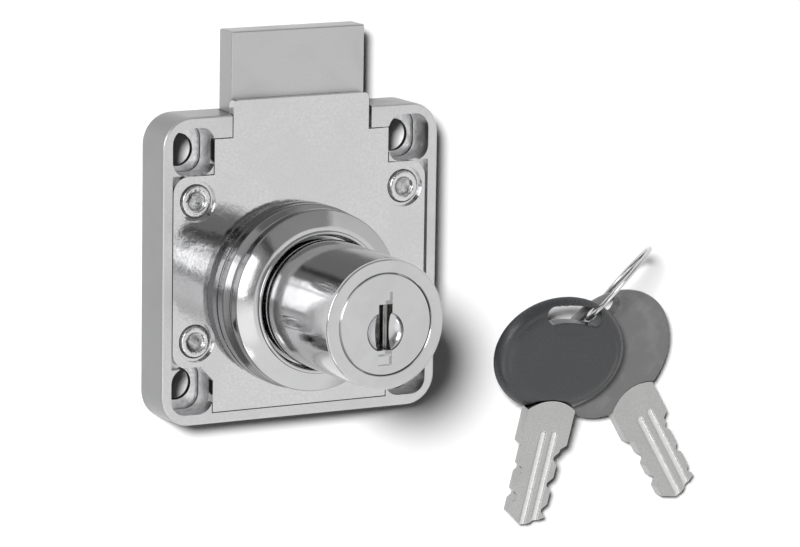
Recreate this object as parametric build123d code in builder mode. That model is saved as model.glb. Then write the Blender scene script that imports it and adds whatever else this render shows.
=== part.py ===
from build123d import *
import os
from math import asin, atan2, cos, degrees, hypot, pi, radians, sin

os.makedirs("parts", exist_ok=True)

# A drawer lock lying on its back, in millimetres.
# The origin is the middle of the case's back face. +Z is the cylinder's axis, towards the key.
# +Y is the way the bolt is thrown and +X is to the right, seen from the key's side.

# Case
case_width = 40.0
case_height = 40.0
case_corner_radius = 4.0
case_edge_round = 0.3
back_wall = 1.1
rim_wall = 1.4
pocket_width = 5.95
pocket_floor = 1.6
pocket_corner_radius = 2.0

# Wood screws' holes through the pockets' floors
screw_inset_x = 4.25
screw_inset_y = 4.75
screw_hole_radius = 2.15
screw_head_radius = 3.0

# Cover plate, let into the case's front, flush with the rim
plate_thickness = 1.2
plate_fit = 0.12
tab_width = 20.0
tab_overhang = 1.8
tab_corner_radius = 0.7
shoulder_drop = 3.0
ear_reach = 3.3
ear_corner_radius = 2.1
ear_chamfer_width = 1.8
ear_chamfer_height = 1.9

# Rivets that hold the cover plate
rivet_inset_x = 4.9
rivet_inset_y = 10.9
rivet_shank_radius = 1.5
rivet_shank_depth = 2.6
rivet_head_radius = 2.1
rivet_recess_radius = 2.65
rivet_recess_depth = 0.5
rivet_dimple_radius = 1.2
rivet_dimple_depth = 0.45

# Bolt
bolt_width = 19.3
bolt_thickness = 3.5
bolt_projection = 10.5
bolt_clearance = 0.15
bolt_end_clearance = 0.3
bolt_edge_round = 0.25

# Crank pin on the drive cam, which throws the bolt
crank_radius = 4.5
crank_pin_radius = 1.5
crank_slot_clearance = 0.2
cam_edge = 0.4
cam_step = 0.47
cam_thickness = 1.7
cam_clearance = 0.1
cam_running_gap = 0.05

# Cylinder housing
axis_drop = 4.1
cylinder_length = 22.6
spigot_wall = 1.5
spigot_flare = 0.5
boss_step = 0.6
boss_height = 4.9
neck_wall = 1.4
barrel_wall = 1.83
barrel_step = 0.2
shoulder_height = 2.7
nose_round = 0.35

# Plug
plug_radius = 5.93
plug_clearance = 0.07
plug_head_step = 0.57
plug_head_length = 1.2
plug_head_gap = 0.1
plug_edge_chamfer = 0.15
keyway_mouth_step = 0.6
keyway_mouth_depth = 0.9
keyway_drop = 0.55
keyway_end_clearance = 0.6
keyhole_recess_step = 1.15
keyhole_recess_depth = 0.35
keyhole_dish_radius = 2.6
keyhole_dish_drop = 0.95
keyhole_dish_depth = 1.0
tail_side = 3.4
tail_length = 0.8

# Screw that holds the drive cam on the plug's tail
cam_screw_radius = 1.0
cam_screw_head_radius = 1.9
cam_screw_length = 5.0
cam_screw_slot = 0.5
countersink_angle = 90.0

# Wafers and their springs
wafer_count = 5
wafer_pitch = 1.9
wafer_first = 1.4
wafer_thickness = 1.0
wafer_width = 4.6
wafer_fit = 0.05
wafer_travel = 0.7
wafer_window_side = 0.275
wafer_window_spares = (0.6, 0.2, 0.4, 0.1, 0.3)
wafer_groove_depth = 0.95
wafer_groove_side = 0.1
lug_width = 1.6
lug_height = 1.2
spring_wire_radius = 0.1
spring_coil_radius = 0.4
spring_bore_clearance = 0.1
spring_length = 2.4
spring_turns = 4
spring_end_gap = 0.06

# Trim ring round the cylinder
ring_radius = 11.85
ring_base_radius = 12.1
ring_neck_radius = 11.0
ring_base_thickness = 1.35
ring_face_back = 3.4
ring_face_edge = 4.6
ring_height = 6.1
ring_lip_width = 0.6
ring_round = 0.3
ring_lip_round = 0.2
ring_clearance = 0.12
ring_seat_gap = 0.05

# Keys
bow_width = 20.0
bow_height = 16.4
bow_thickness = 2.2
bow_edge_round = 0.5
bow_rim_width = 1.5
bow_rim_depth = 0.2
bow_slot_length = 8.6
bow_slot_lean = 0.7
bow_slot_clearance = 0.08
bow_slot_x = 0.35
bow_slot_y = 6.1
bow_slot_radius = 16.0
bow_arch_width = 9.2
bow_arch_height = 2.1
bow_arch_rim = 0.75
blade_thickness = 1.7
blade_width = 5.6
blade_length = 11.8
blade_clearance = 0.15
blade_side_clearance = 0.125
shoulder_width = 7.4
shoulder_length = 6.4
shoulder_slope = 0.6
shoulder_gap = 0.1
tang_width = 5.0
tang_length = 6.0
tang_thickness = 1.0
cut_flat = 0.4
tip_x = -0.6
tip_left_length = 1.7
tip_right_length = 1.2
groove_width = 0.8
groove_depth = 0.35
groove_reach = 1.5
groove_places = (-0.5, 1.35)
front_cuts = (0.7, 0.4, 0.8, 0.5, 0.7)
rear_cuts = (0.4, 0.8, 0.5, 0.8, 0.4)

# Key ring: a wire loop that leans on its edge through both bows' slots, beside the case
key_ring_radius = 6.3
key_ring_wire_radius = 0.3
key_ring_gap_angle = 5.0
key_ring_side = 28.34
key_ring_y = -6.32
key_ring_height = 6.06
key_ring_axis_turn = -46.25
key_ring_axis_rise = 26.56

# Where the middle of each key's slot is, from the ring's centre, and how far the key is turned
front_slot_place = (-7.711, -3.341, 0.6785)
front_turn = -7.0
rear_slot_place = (-2.098, -5.096, -4.123)
rear_turn = 31.2

# Radii round the cylinder's axis
plug_head_radius = plug_radius + plug_head_step
cam_radius = max(plug_radius + cam_step, crank_radius + crank_pin_radius + cam_edge)
spigot_radius = cam_radius + cam_clearance + spigot_wall
neck_radius = plug_radius + plug_clearance + neck_wall
barrel_radius = plug_head_radius + plug_clearance + barrel_wall
boss_radius = max(spigot_radius + boss_step, barrel_radius + barrel_step)
ring_bore = boss_radius + ring_clearance
wafer_radius = plug_radius - wafer_fit

# Levels along the cylinder's axis
bolt_back = back_wall + bolt_clearance
bolt_front = bolt_back + bolt_thickness
plate_back = bolt_front + bolt_clearance
case_front = plate_back + plate_thickness
cylinder_front = case_front + cylinder_length
boss_front = case_front + boss_height
cam_back = plate_back + cam_running_gap
cam_front = cam_back + cam_thickness
cam_seat = cam_front + cam_clearance
plug_head_back = cylinder_front - plug_head_length
head_seat = plug_head_back - plug_head_gap
rivet_seat = case_front - rivet_recess_depth
ring_back = case_front + ring_seat_gap
keyway_depth = blade_length + keyway_end_clearance
wafer_front = cylinder_front - wafer_first - wafer_thickness
wafer_places = [wafer_front - wafer_pitch * n for n in range(wafer_count)]

# Places across the case
axis_y = -axis_drop
bolt_travel = 2 * crank_radius
cavity_half_width = case_width / 2 - rim_wall
cavity_half_height = case_height / 2 - rim_wall
waist_half_width = cavity_half_width - pocket_width
rivet_x = case_width / 2 - rivet_inset_x
rivet_y = case_height / 2 - rivet_inset_y
ear_end = rivet_y + ear_reach
pocket_length = cavity_half_height - ear_end
screw_x = case_width / 2 - screw_inset_x
screw_y = case_height / 2 - screw_inset_y
bolt_end = case_height / 2 + bolt_projection
bolt_start = -cavity_half_height + bolt_travel + bolt_end_clearance
crank_y = axis_y + crank_radius
keyway_y = axis_y - keyway_drop
keyway_width = blade_thickness + 2 * blade_side_clearance
keyway_height = blade_width + 2 * blade_clearance
keyway_mouth_height = keyway_height + 2 * keyway_mouth_step
keyhole_recess_height = keyway_mouth_height + 2 * keyhole_recess_step
wafer_window_width = keyway_width + 2 * wafer_window_side
wafer_window_heights = [keyway_height + spare for spare in wafer_window_spares]
bow_slot_width = 2 * key_ring_wire_radius + bow_slot_lean * bow_thickness + 2 * bow_slot_clearance

# The bolt moves at a steady rate as the plug turns, and the crank pin leads or trails it by up to this much
steady_angle = asin(2 / pi)
crank_lag = crank_radius * (cos(steady_angle) - 1 + 2 * steady_angle / pi)


def corners(x, y):
    """The four places at plus and minus x and y."""
    return [(-x, -y), (x, -y), (-x, y), (x, y)]


def section_plane(x, y):
    """A plane through a line along Z, whose own Y is the model's Z."""
    return Plane(origin=(x, y, 0), x_dir=(1, 0, 0), z_dir=(0, -1, 0))


def cover_outline(grow):
    """The corners of the cover plate's outline, grown all round by a clearance."""
    tab = tab_width / 2 + grow
    waist = waist_half_width + grow
    ear = cavity_half_width - plate_fit + grow
    top = case_height / 2 + tab_overhang
    shoulder = case_height / 2 - shoulder_drop + grow
    ear_top = ear_end + grow
    bottom = -cavity_half_height + plate_fit - grow
    chamfer_start = waist_half_width + ear_chamfer_width
    chamfer_end = -ear_end - ear_chamfer_height
    right = [
        (tab, top),
        (tab, shoulder),
        (waist, shoulder),
        (waist, ear_top),
        (ear, ear_top),
        (ear, -ear_top),
        (chamfer_start, -ear_top),
        (waist, chamfer_end),
        (waist, bottom),
    ]
    return right + [(-x, y) for x, y in reversed(right)]


def cover_radii():
    """The rounding at each corner of the cover plate's outline."""
    right = [tab_corner_radius, 0, 0, 0, ear_corner_radius, ear_corner_radius, 0, 0, 0]
    return right + right[::-1]


# Case: a die-cast box, open at the front, with a channel for the bolt
with BuildPart() as case:
    with BuildSketch():
        RectangleRounded(case_width, case_height, case_corner_radius)
    extrude(amount=case_front)
    fillet(case.edges().group_by(Axis.Z)[0] + case.edges().group_by(Axis.Z)[-1], case_edge_round)
    with BuildSketch(Plane.XY.offset(plate_back)):
        with BuildLine():
            Polyline(*cover_outline(plate_fit), close=True)
        make_face()
    extrude(amount=plate_thickness, mode=Mode.SUBTRACT)
    with BuildSketch(Plane.XY.offset(pocket_floor)):
        with Locations(*corners(cavity_half_width - pocket_width / 2, ear_end + pocket_length / 2)):
            RectangleRounded(pocket_width, pocket_length, pocket_corner_radius)
    extrude(amount=case_front - pocket_floor, mode=Mode.SUBTRACT)
    with BuildSketch(Plane.XY.offset(back_wall)):
        with Locations((0, (case_height / 2 - cavity_half_height) / 2)):
            Rectangle(bolt_width + 2 * bolt_clearance, case_height / 2 + cavity_half_height)
    extrude(amount=plate_back - back_wall, mode=Mode.SUBTRACT)
    with Locations(*[Location((x, y, 0), (180, 0, 0)) for x, y in corners(screw_x, screw_y)]):
        CounterSinkHole(screw_hole_radius, screw_head_radius, pocket_floor, countersink_angle)
    with BuildSketch(Plane.XY.offset(plate_back)):
        with Locations(*corners(rivet_x, rivet_y)):
            Circle(rivet_shank_radius)
    extrude(amount=-rivet_shank_depth, mode=Mode.SUBTRACT)
case.part.label = "case"
export_step(case.part, "parts/case.step")


# Cover plate: closes the bolt's channel and carries the cylinder housing
with BuildPart() as cover_plate:
    with BuildSketch(Plane.XY.offset(plate_back)):
        with BuildLine():
            FilletPolyline(*cover_outline(0), radius=cover_radii(), close=True)
        make_face()
    extrude(amount=plate_thickness)
    with BuildSketch(Plane.XY.offset(rivet_seat)):
        with Locations(*corners(rivet_x, rivet_y)):
            Circle(rivet_recess_radius)
    extrude(amount=rivet_recess_depth, mode=Mode.SUBTRACT)
    with BuildSketch(Plane.XY.offset(plate_back)):
        with Locations(*corners(rivet_x, rivet_y)):
            Circle(rivet_shank_radius)
        with Locations((0, axis_y)):
            Circle(spigot_radius)
    extrude(amount=plate_thickness, mode=Mode.SUBTRACT)
    with BuildSketch(section_plane(0, axis_y)):
        with BuildLine():
            Polyline(
                (spigot_radius, plate_back),
                (spigot_radius + spigot_flare, plate_back),
                (spigot_radius, plate_back + spigot_flare),
                close=True,
            )
        make_face()
    revolve(axis=Axis((0, axis_y, 0), (0, 0, 1)), mode=Mode.SUBTRACT)
cover_plate.part.label = "cover_plate"
export_step(cover_plate.part, "parts/cover_plate.step")


# Rivets: four staked heads with a rolled rim and a dimple, sunk into the cover plate
with BuildPart() as cover_rivets:
    for x, y in corners(rivet_x, rivet_y):
        with BuildSketch(section_plane(x, y)):
            with BuildLine():
                Polyline(
                    (rivet_dimple_radius, case_front - rivet_dimple_depth),
                    (0, case_front - rivet_dimple_depth),
                    (0, plate_back - rivet_shank_depth),
                    (rivet_shank_radius, plate_back - rivet_shank_depth),
                    (rivet_shank_radius, rivet_seat),
                    (rivet_head_radius, rivet_seat),
                )
                ThreePointArc(
                    (rivet_head_radius, rivet_seat),
                    ((rivet_head_radius + rivet_dimple_radius) / 2, case_front),
                    (rivet_dimple_radius, case_front - rivet_dimple_depth),
                )
            make_face()
        revolve(axis=Axis((x, y, 0), (0, 0, 1)))
cover_rivets.part.label = "cover_rivets"
export_step(cover_rivets.part, "parts/cover_rivets.step")


# Bolt: a flat bar with a cross slot for the crank pin
with BuildPart() as bolt:
    with BuildSketch(Plane.XY.offset(bolt_back)):
        with Locations((0, (bolt_start + bolt_end) / 2)):
            Rectangle(bolt_width, bolt_end - bolt_start)
    extrude(amount=bolt_thickness)
    fillet(bolt.edges(), bolt_edge_round)
    with BuildSketch(Plane.XY.offset(bolt_back)):
        with Locations((0, crank_y)):
            RectangleRounded(
                2 * (crank_radius + crank_pin_radius + crank_slot_clearance),
                2 * (crank_pin_radius + crank_lag + crank_slot_clearance),
                crank_pin_radius,
            )
    extrude(amount=bolt_thickness, mode=Mode.SUBTRACT)
bolt.part.label = "bolt"
export_step(bolt.part, "parts/bolt.step")


# Cylinder housing: spigot riveted over behind the plate, boss for the trim ring, then the long barrel
with BuildPart() as cylinder_housing:
    with BuildSketch(section_plane(0, axis_y)):
        with BuildLine():
            Polyline(
                (barrel_radius - nose_round, cylinder_front),
                (plug_head_radius + plug_clearance, cylinder_front),
                (plug_head_radius + plug_clearance, head_seat),
                (plug_radius + plug_clearance, head_seat),
                (plug_radius + plug_clearance, cam_seat),
                (cam_radius + cam_clearance, cam_seat),
                (cam_radius + cam_clearance, plate_back),
                (spigot_radius + spigot_flare, plate_back),
                (spigot_radius, plate_back + spigot_flare),
                (spigot_radius, case_front),
                (boss_radius, case_front),
                (boss_radius, boss_front),
                (neck_radius, boss_front),
            )
            ThreePointArc(
                (neck_radius, boss_front),
                (
                    neck_radius + (barrel_radius - neck_radius) * sin(pi / 4),
                    boss_front + shoulder_height * (1 - cos(pi / 4)),
                ),
                (barrel_radius, boss_front + shoulder_height),
            )
            Line((barrel_radius, boss_front + shoulder_height), (barrel_radius, cylinder_front - nose_round))
            RadiusArc(
                (barrel_radius, cylinder_front - nose_round),
                (barrel_radius - nose_round, cylinder_front),
                -nose_round,
            )
        make_face()
    revolve(axis=Axis((0, axis_y, 0), (0, 0, 1)))
    with BuildSketch(Plane.XY.offset(cam_seat)):
        with Locations((0, axis_y)):
            Rectangle(
                wafer_width + 2 * wafer_groove_side,
                2 * (plug_radius + plug_clearance + wafer_groove_depth),
            )
    extrude(amount=head_seat - cam_seat, mode=Mode.SUBTRACT)
cylinder_housing.part.label = "cylinder_housing"
export_step(cylinder_housing.part, "parts/cylinder_housing.step")


# Trim ring: slides on the barrel and hides the edge of the hole in the drawer's front
with BuildPart() as trim_ring:
    with BuildSketch(section_plane(0, axis_y)):
        with BuildLine():
            FilletPolyline(
                (ring_bore, ring_back),
                (ring_base_radius, ring_back),
                (ring_base_radius, ring_back + ring_base_thickness),
                (ring_neck_radius, (ring_back + ring_base_thickness + case_front + ring_face_back) / 2),
                (ring_radius, case_front + ring_face_back),
                (ring_radius, case_front + ring_face_edge),
                (ring_bore + ring_lip_width, case_front + ring_height),
                (ring_bore, case_front + ring_height),
                radius=(0, ring_round, ring_round, ring_round, ring_round, ring_round, 0, ring_lip_round),
                close=True,
            )
        make_face()
    revolve(axis=Axis((0, axis_y, 0), (0, 0, 1)))
trim_ring.part.label = "trim_ring"
export_step(trim_ring.part, "parts/trim_ring.step")


# Drive cam: a disc on the plug's tail, with the crank pin that runs in the bolt's slot
cam_screw_head_height = cam_screw_head_radius - cam_screw_radius
with BuildPart() as drive_cam:
    with BuildSketch(Plane.XY.offset(cam_back)):
        with Locations((0, axis_y)):
            Circle(cam_radius)
    extrude(amount=cam_thickness)
    with BuildSketch(Plane.XY.offset(cam_back)):
        with Locations((0, crank_y)):
            Circle(crank_pin_radius)
    extrude(amount=-(cam_back - bolt_back - bolt_clearance))
    with BuildSketch(Plane.XY.offset(cam_front - tail_length)):
        with Locations((0, axis_y)):
            Rectangle(tail_side, tail_side)
    extrude(amount=tail_length, mode=Mode.SUBTRACT)
    with Locations(Location((0, axis_y, cam_back), (180, 0, 0))):
        CounterSinkHole(cam_screw_radius, cam_screw_head_radius, cam_thickness, countersink_angle)
drive_cam.part.label = "drive_cam"
export_step(drive_cam.part, "parts/drive_cam.step")


# Cam screw: countersunk, flush with the cam's back
with BuildPart() as cam_screw:
    with BuildSketch(section_plane(0, axis_y)):
        with BuildLine():
            Polyline(
                (0, cam_back),
                (cam_screw_head_radius, cam_back),
                (cam_screw_radius, cam_back + cam_screw_head_height),
                (cam_screw_radius, cam_back + cam_screw_length),
                (0, cam_back + cam_screw_length),
                close=True,
            )
        make_face()
    revolve(axis=Axis((0, axis_y, 0), (0, 0, 1)))
    with BuildSketch(Plane.XY.offset(cam_back)):
        with Locations((0, axis_y)):
            Rectangle(2 * cam_screw_head_radius, cam_screw_slot)
    extrude(amount=cam_screw_slot, mode=Mode.SUBTRACT)
cam_screw.part.label = "cam_screw"
export_step(cam_screw.part, "parts/cam_screw.step")


# Wafers lie across the plug and are sprung by turns: the first towards +Y, the second towards -Y
wafer_ways = [1 if n % 2 == 0 else -1 for n in range(wafer_count)]
lug_x = wafer_width / 2 + lug_width / 2
spring_bore_radius = spring_coil_radius + spring_wire_radius + spring_bore_clearance


# Plug: turns in the housing, with the keyway, a slot for each wafer and a bore for each wafer's spring
with BuildPart() as plug:
    with BuildSketch(Plane.XY.offset(cam_front)):
        with Locations((0, axis_y)):
            Circle(plug_radius)
    extrude(amount=plug_head_back - cam_front)
    with BuildSketch(Plane.XY.offset(plug_head_back)):
        with Locations((0, axis_y)):
            Circle(plug_head_radius)
    extrude(amount=plug_head_length)
    chamfer(plug.edges().group_by(Axis.Z)[-1], plug_edge_chamfer)
    with BuildSketch(Plane.XY.offset(cam_front - tail_length)):
        with Locations((0, axis_y)):
            Rectangle(tail_side, tail_side)
    extrude(amount=tail_length)
    with BuildSketch(Plane.XY.offset(cam_back)):
        with Locations((0, axis_y)):
            Circle(cam_screw_radius)
    extrude(amount=cam_screw_length, mode=Mode.SUBTRACT)
    with BuildSketch(Plane.XY.offset(cylinder_front)):
        with Locations((0, keyway_y)):
            Rectangle(keyway_width, keyway_height)
    extrude(amount=-keyway_depth, mode=Mode.SUBTRACT)
    with BuildSketch(Plane.XY.offset(cylinder_front)):
        with Locations((0, keyway_y)):
            Rectangle(keyway_width, keyway_mouth_height)
    extrude(amount=-keyway_mouth_depth, mode=Mode.SUBTRACT)
    with BuildSketch(Plane.XY.offset(cylinder_front - keyhole_recess_depth)):
        with Locations((0, keyway_y)):
            Rectangle(keyway_width, keyhole_recess_height)
    extrude(amount=keyhole_recess_depth, mode=Mode.SUBTRACT)
    with BuildSketch(section_plane(0, axis_y - keyhole_dish_drop)):
        with BuildLine():
            Polyline(
                (0, cylinder_front - keyhole_dish_depth),
                (0, cylinder_front),
                (keyhole_dish_radius, cylinder_front),
            )
            ThreePointArc(
                (keyhole_dish_radius, cylinder_front),
                (keyhole_dish_radius * sin(pi / 4), cylinder_front - keyhole_dish_depth * cos(pi / 4)),
                (0, cylinder_front - keyhole_dish_depth),
            )
        make_face()
    revolve(axis=Axis((0, axis_y - keyhole_dish_drop, 0), (0, 0, 1)), mode=Mode.SUBTRACT)
    for place, way in zip(wafer_places, wafer_ways):
        slot_thickness = wafer_thickness + 2 * wafer_fit
        with BuildSketch(Plane.XY.offset(place - wafer_fit)):
            with Locations((0, axis_y)):
                Rectangle(wafer_width + 2 * wafer_fit, 2 * plug_radius + wafer_fit)
            with Locations((way * lug_x, axis_y - way * (lug_height - wafer_travel) / 2)):
                Rectangle(lug_width + 2 * wafer_fit, lug_height + wafer_travel + 2 * wafer_fit)
        extrude(amount=slot_thickness, mode=Mode.SUBTRACT)
        bore_top = (way * lug_x, axis_y - way * lug_height, place + wafer_thickness / 2)
        with BuildSketch(Plane(origin=bore_top, x_dir=(1, 0, 0), z_dir=(0, -way, 0))):
            Circle(spring_bore_radius)
        extrude(amount=spring_length, mode=Mode.SUBTRACT)
plug.part.label = "plug"
export_step(plug.part, "parts/plug.step")


def make_wafer(place, way, window_height):
    """A wafer at rest: flush with the plug, with its lug on its spring."""
    with BuildPart() as wafer:
        with BuildSketch(Plane.XY.offset(place)):
            with Locations((0, axis_y)):
                Circle(wafer_radius)
                Rectangle(wafer_width, 2 * plug_radius, mode=Mode.INTERSECT)
            with Locations((0, keyway_y)):
                Rectangle(wafer_window_width, window_height, mode=Mode.SUBTRACT)
            with Locations((way * lug_x, axis_y - way * lug_height / 2)):
                Rectangle(lug_width, lug_height)
        extrude(amount=wafer_thickness)
    return wafer.part


def make_wafer_spring(place, way):
    """A wafer's coil spring, between the lug and the end of its bore."""
    end_gap = spring_wire_radius + spring_end_gap
    coil_length = spring_length - 2 * end_gap
    start = (way * lug_x, axis_y - way * (lug_height + end_gap), place + wafer_thickness / 2)
    with BuildPart() as wafer_spring:
        with BuildLine() as coil:
            Helix(coil_length / spring_turns, coil_length, spring_coil_radius, start, (0, -way, 0))
        with BuildSketch(Plane(origin=coil.line @ 0, z_dir=coil.line % 0)):
            Circle(spring_wire_radius)
        sweep(is_frenet=True)
    return wafer_spring.part


for n, (place, way) in enumerate(zip(wafer_places, wafer_ways)):
    wafer_part = make_wafer(place, way, wafer_window_heights[n])
    wafer_part.label = f"wafer_{n + 1}"
    export_step(wafer_part, f"parts/wafer_{n + 1}.step")
    spring_part = make_wafer_spring(place, way)
    spring_part.label = f"wafer_spring_{n + 1}"
    export_step(spring_part, f"parts/wafer_spring_{n + 1}.step")


# Lines across a key, in its own frame: the bow's middle is the origin and the blade points along -Y
shoulder_top = -bow_height / 2 + bow_arch_height
shoulder_end = shoulder_top - shoulder_length
tip_y = shoulder_end - blade_length
arch_radius = (bow_arch_width ** 2 / 4 + bow_arch_height ** 2) / (2 * bow_arch_height)
arch_y = shoulder_top - arch_radius
key_ring_centre = Vector(case_width / 2 + key_ring_side, key_ring_y, key_ring_height)


def key_plane(slot_place, turn):
    """A key's middle plane: its slot is on the key ring and the tip of its blade lies on the surface."""
    slot_middle = key_ring_centre + Vector(*slot_place)
    tip_distance = bow_slot_y - tip_y
    half = blade_thickness / 2
    tilt = asin(slot_middle.Z / hypot(tip_distance, half)) - atan2(half, tip_distance)
    turn = radians(turn)
    x_dir = Vector(cos(turn), sin(turn), 0)
    y_dir = Vector(-sin(turn) * cos(tilt), cos(turn) * cos(tilt), sin(tilt))
    return Plane(origin=slot_middle - y_dir * bow_slot_y, x_dir=x_dir, z_dir=x_dir.cross(y_dir))


def cut_edge(cuts, side):
    """One cut edge of the blade, from the shoulder to the tip: each notch meets one wafer."""
    half = blade_width / 2
    points = []
    for n in range(side, wafer_count, 2):
        middle = shoulder_end - wafer_first - wafer_thickness / 2 - wafer_pitch * n
        depth = cuts[n]
        points += [
            (half, middle + cut_flat / 2 + depth),
            (half - depth, middle + cut_flat / 2),
            (half - depth, middle - cut_flat / 2),
            (half, middle - cut_flat / 2 - depth),
        ]
    return points


def make_key_blade(plane, cuts):
    """A key's blade with its shoulder under the bow's arch, its notches and two grooves on each face."""
    blade_half = blade_width / 2
    shoulder_half = shoulder_width / 2
    shoulder_radius_top = arch_radius - shoulder_gap
    corner_y = arch_y + (shoulder_radius_top ** 2 - shoulder_half ** 2) ** 0.5
    crown_y = arch_y + shoulder_radius_top
    with BuildPart() as blade:
        with BuildSketch(plane):
            with BuildLine():
                Polyline(
                    (shoulder_half, corner_y),
                    (shoulder_half, shoulder_end),
                    (blade_half, shoulder_end - shoulder_slope),
                    *cut_edge(cuts, 0),
                    (blade_half, tip_y + tip_right_length),
                    (tip_x, tip_y),
                    (-blade_half, tip_y + tip_left_length),
                    *[(-x, y) for x, y in reversed(cut_edge(cuts, 1))],
                    (-blade_half, shoulder_end - shoulder_slope),
                    (-shoulder_half, shoulder_end),
                    (-shoulder_half, corner_y),
                )
                ThreePointArc((-shoulder_half, corner_y), (0, crown_y), (shoulder_half, corner_y))
            make_face()
        extrude(amount=blade_thickness / 2, both=True)
        with BuildSketch(plane):
            with Locations((0, crown_y)):
                Rectangle(tang_width, 2 * tang_length)
        extrude(amount=tang_thickness / 2, both=True)
        for face in (1, -1):
            with BuildSketch(plane.offset(face * blade_thickness / 2)):
                for groove_x in groove_places:
                    with Locations((face * groove_x, tip_y)):
                        SlotOverall(2 * (blade_length + groove_reach), groove_width, rotation=90)
            extrude(amount=-face * groove_depth, mode=Mode.SUBTRACT)
    return blade.part


def make_key_bow(plane):
    """A key's moulded bow: an oval with a raised rim, a slot for the ring and an arch over the shoulder."""
    slot_sweep = degrees((bow_slot_length - bow_slot_width) / bow_slot_radius)
    slot_centre = (bow_slot_x, bow_slot_y - bow_slot_radius)
    slot_line = CenterArc(slot_centre, bow_slot_radius, 90 - slot_sweep / 2, slot_sweep)
    with BuildPart() as bow:
        with BuildSketch(plane):
            Ellipse(bow_width / 2, bow_height / 2)
            with Locations((0, arch_y)):
                Circle(arch_radius, mode=Mode.SUBTRACT)
        extrude(amount=bow_thickness / 2, both=True)
        fillet(bow.faces().filter_by(plane).edges(), bow_edge_round)
        for face in (1, -1):
            with BuildSketch(plane.offset(face * (bow_thickness / 2 - bow_rim_depth))):
                Ellipse(bow_width / 2 - bow_rim_width, bow_height / 2 - bow_rim_width)
                with Locations((0, arch_y)):
                    Circle(arch_radius + bow_arch_rim, mode=Mode.SUBTRACT)
            extrude(amount=face * bow_rim_depth, mode=Mode.SUBTRACT)
        with BuildSketch(plane.offset(-bow_thickness / 2)):
            SlotArc(slot_line, bow_slot_width)
        extrude(amount=bow_thickness, mode=Mode.SUBTRACT)
        with BuildSketch(plane):
            with Locations((0, arch_y + arch_radius - shoulder_gap)):
                Rectangle(tang_width, 2 * tang_length)
        extrude(amount=tang_thickness / 2, both=True, mode=Mode.SUBTRACT)
    return bow.part


keys = [
    ("front_key", key_plane(front_slot_place, front_turn), front_cuts),
    ("rear_key", key_plane(rear_slot_place, rear_turn), rear_cuts),
]
for name, plane, cuts in keys:
    blade_part = make_key_blade(plane, cuts)
    blade_part.label = f"{name}_blade"
    export_step(blade_part, f"parts/{name}_blade.step")
    bow_part = make_key_bow(plane)
    bow_part.label = f"{name}_bow"
    export_step(bow_part, f"parts/{name}_bow.step")


# Key ring: a wire loop whose two ends nearly meet
axis_turn = radians(key_ring_axis_turn)
axis_rise = radians(key_ring_axis_rise)
key_ring_axis = Vector(cos(axis_rise) * cos(axis_turn), cos(axis_rise) * sin(axis_turn), sin(axis_rise))
level_line = Vector(-sin(axis_turn), cos(axis_turn), 0)
wire_plane = Plane(origin=key_ring_centre, x_dir=level_line, z_dir=level_line.cross(key_ring_axis))
with BuildPart() as key_ring:
    with BuildSketch(wire_plane):
        with Locations((key_ring_radius, 0)):
            Circle(key_ring_wire_radius)
    revolve(axis=Axis(key_ring_centre, key_ring_axis), revolution_arc=360 - key_ring_gap_angle)
key_ring.part.label = "key_ring"
export_step(key_ring.part, "parts/key_ring.step")
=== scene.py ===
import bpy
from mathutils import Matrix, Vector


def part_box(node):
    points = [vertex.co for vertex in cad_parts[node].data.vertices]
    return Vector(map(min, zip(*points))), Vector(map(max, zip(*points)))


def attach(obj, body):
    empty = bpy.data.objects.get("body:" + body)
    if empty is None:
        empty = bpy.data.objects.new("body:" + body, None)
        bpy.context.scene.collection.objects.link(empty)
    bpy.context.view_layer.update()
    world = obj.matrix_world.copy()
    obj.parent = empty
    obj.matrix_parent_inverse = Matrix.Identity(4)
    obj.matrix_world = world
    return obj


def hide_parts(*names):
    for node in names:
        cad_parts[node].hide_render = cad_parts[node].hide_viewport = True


bl_info = {
    "name": "Drawer lock",
    "version": (1, 0, 0),
    "blender": (4, 5, 0),
    "location": "View3D > Sidebar > Drawer lock",
    "description": "Models a drawer lock and its two keys, with their finishes and a plain studio",
    "category": "Object",
}

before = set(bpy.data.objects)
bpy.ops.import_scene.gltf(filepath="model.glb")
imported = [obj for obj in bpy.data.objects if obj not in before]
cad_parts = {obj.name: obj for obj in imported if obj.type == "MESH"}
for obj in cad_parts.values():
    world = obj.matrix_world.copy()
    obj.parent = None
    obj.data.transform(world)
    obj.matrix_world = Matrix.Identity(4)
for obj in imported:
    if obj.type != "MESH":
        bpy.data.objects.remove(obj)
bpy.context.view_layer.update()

from math import asin, atan2, cos, hypot, log, pi, radians, sin, tan
from types import SimpleNamespace

import bmesh
import bpy
from bpy.props import FloatProperty, FloatVectorProperty, IntProperty, PointerProperty
from bpy.types import Operator, Panel, PropertyGroup
from mathutils import Matrix, Vector

WAFERS = range(1, 6)

# Millimetres in a metre, and how far in millimetres a cutting tool stands over what it cuts
MILLIMETRES = 1000.0
OVERSHOOT = 0.5

# Sides of the turned pieces, and of the smaller holes
FINE_STEPS = 192
COARSE_STEPS = 48


def length(name, description, default):
    """A size in metres."""
    return FloatProperty(name=name, description=description, default=default, unit="LENGTH", precision=5)


def share(name, description, default):
    """A number from 0 to 1."""
    return FloatProperty(name=name, description=description, default=default, min=0.0, max=1.0, subtype="FACTOR")


def angle(name, description, degrees):
    """An angle, given in degrees."""
    return FloatProperty(name=name, description=description, default=radians(degrees), subtype="ANGLE")


def colour(name, description, default):
    """A colour, in linear light."""
    return FloatVectorProperty(name=name, description=description, default=default, min=0, max=1, subtype="COLOR")


def direction(name, description, default):
    """A direction."""
    return FloatVectorProperty(name=name, description=description, default=default, subtype="DIRECTION")


def node_size(node, axis):
    """How large a node is along an axis."""
    low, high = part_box(node)
    return high[axis] - low[axis]


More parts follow.
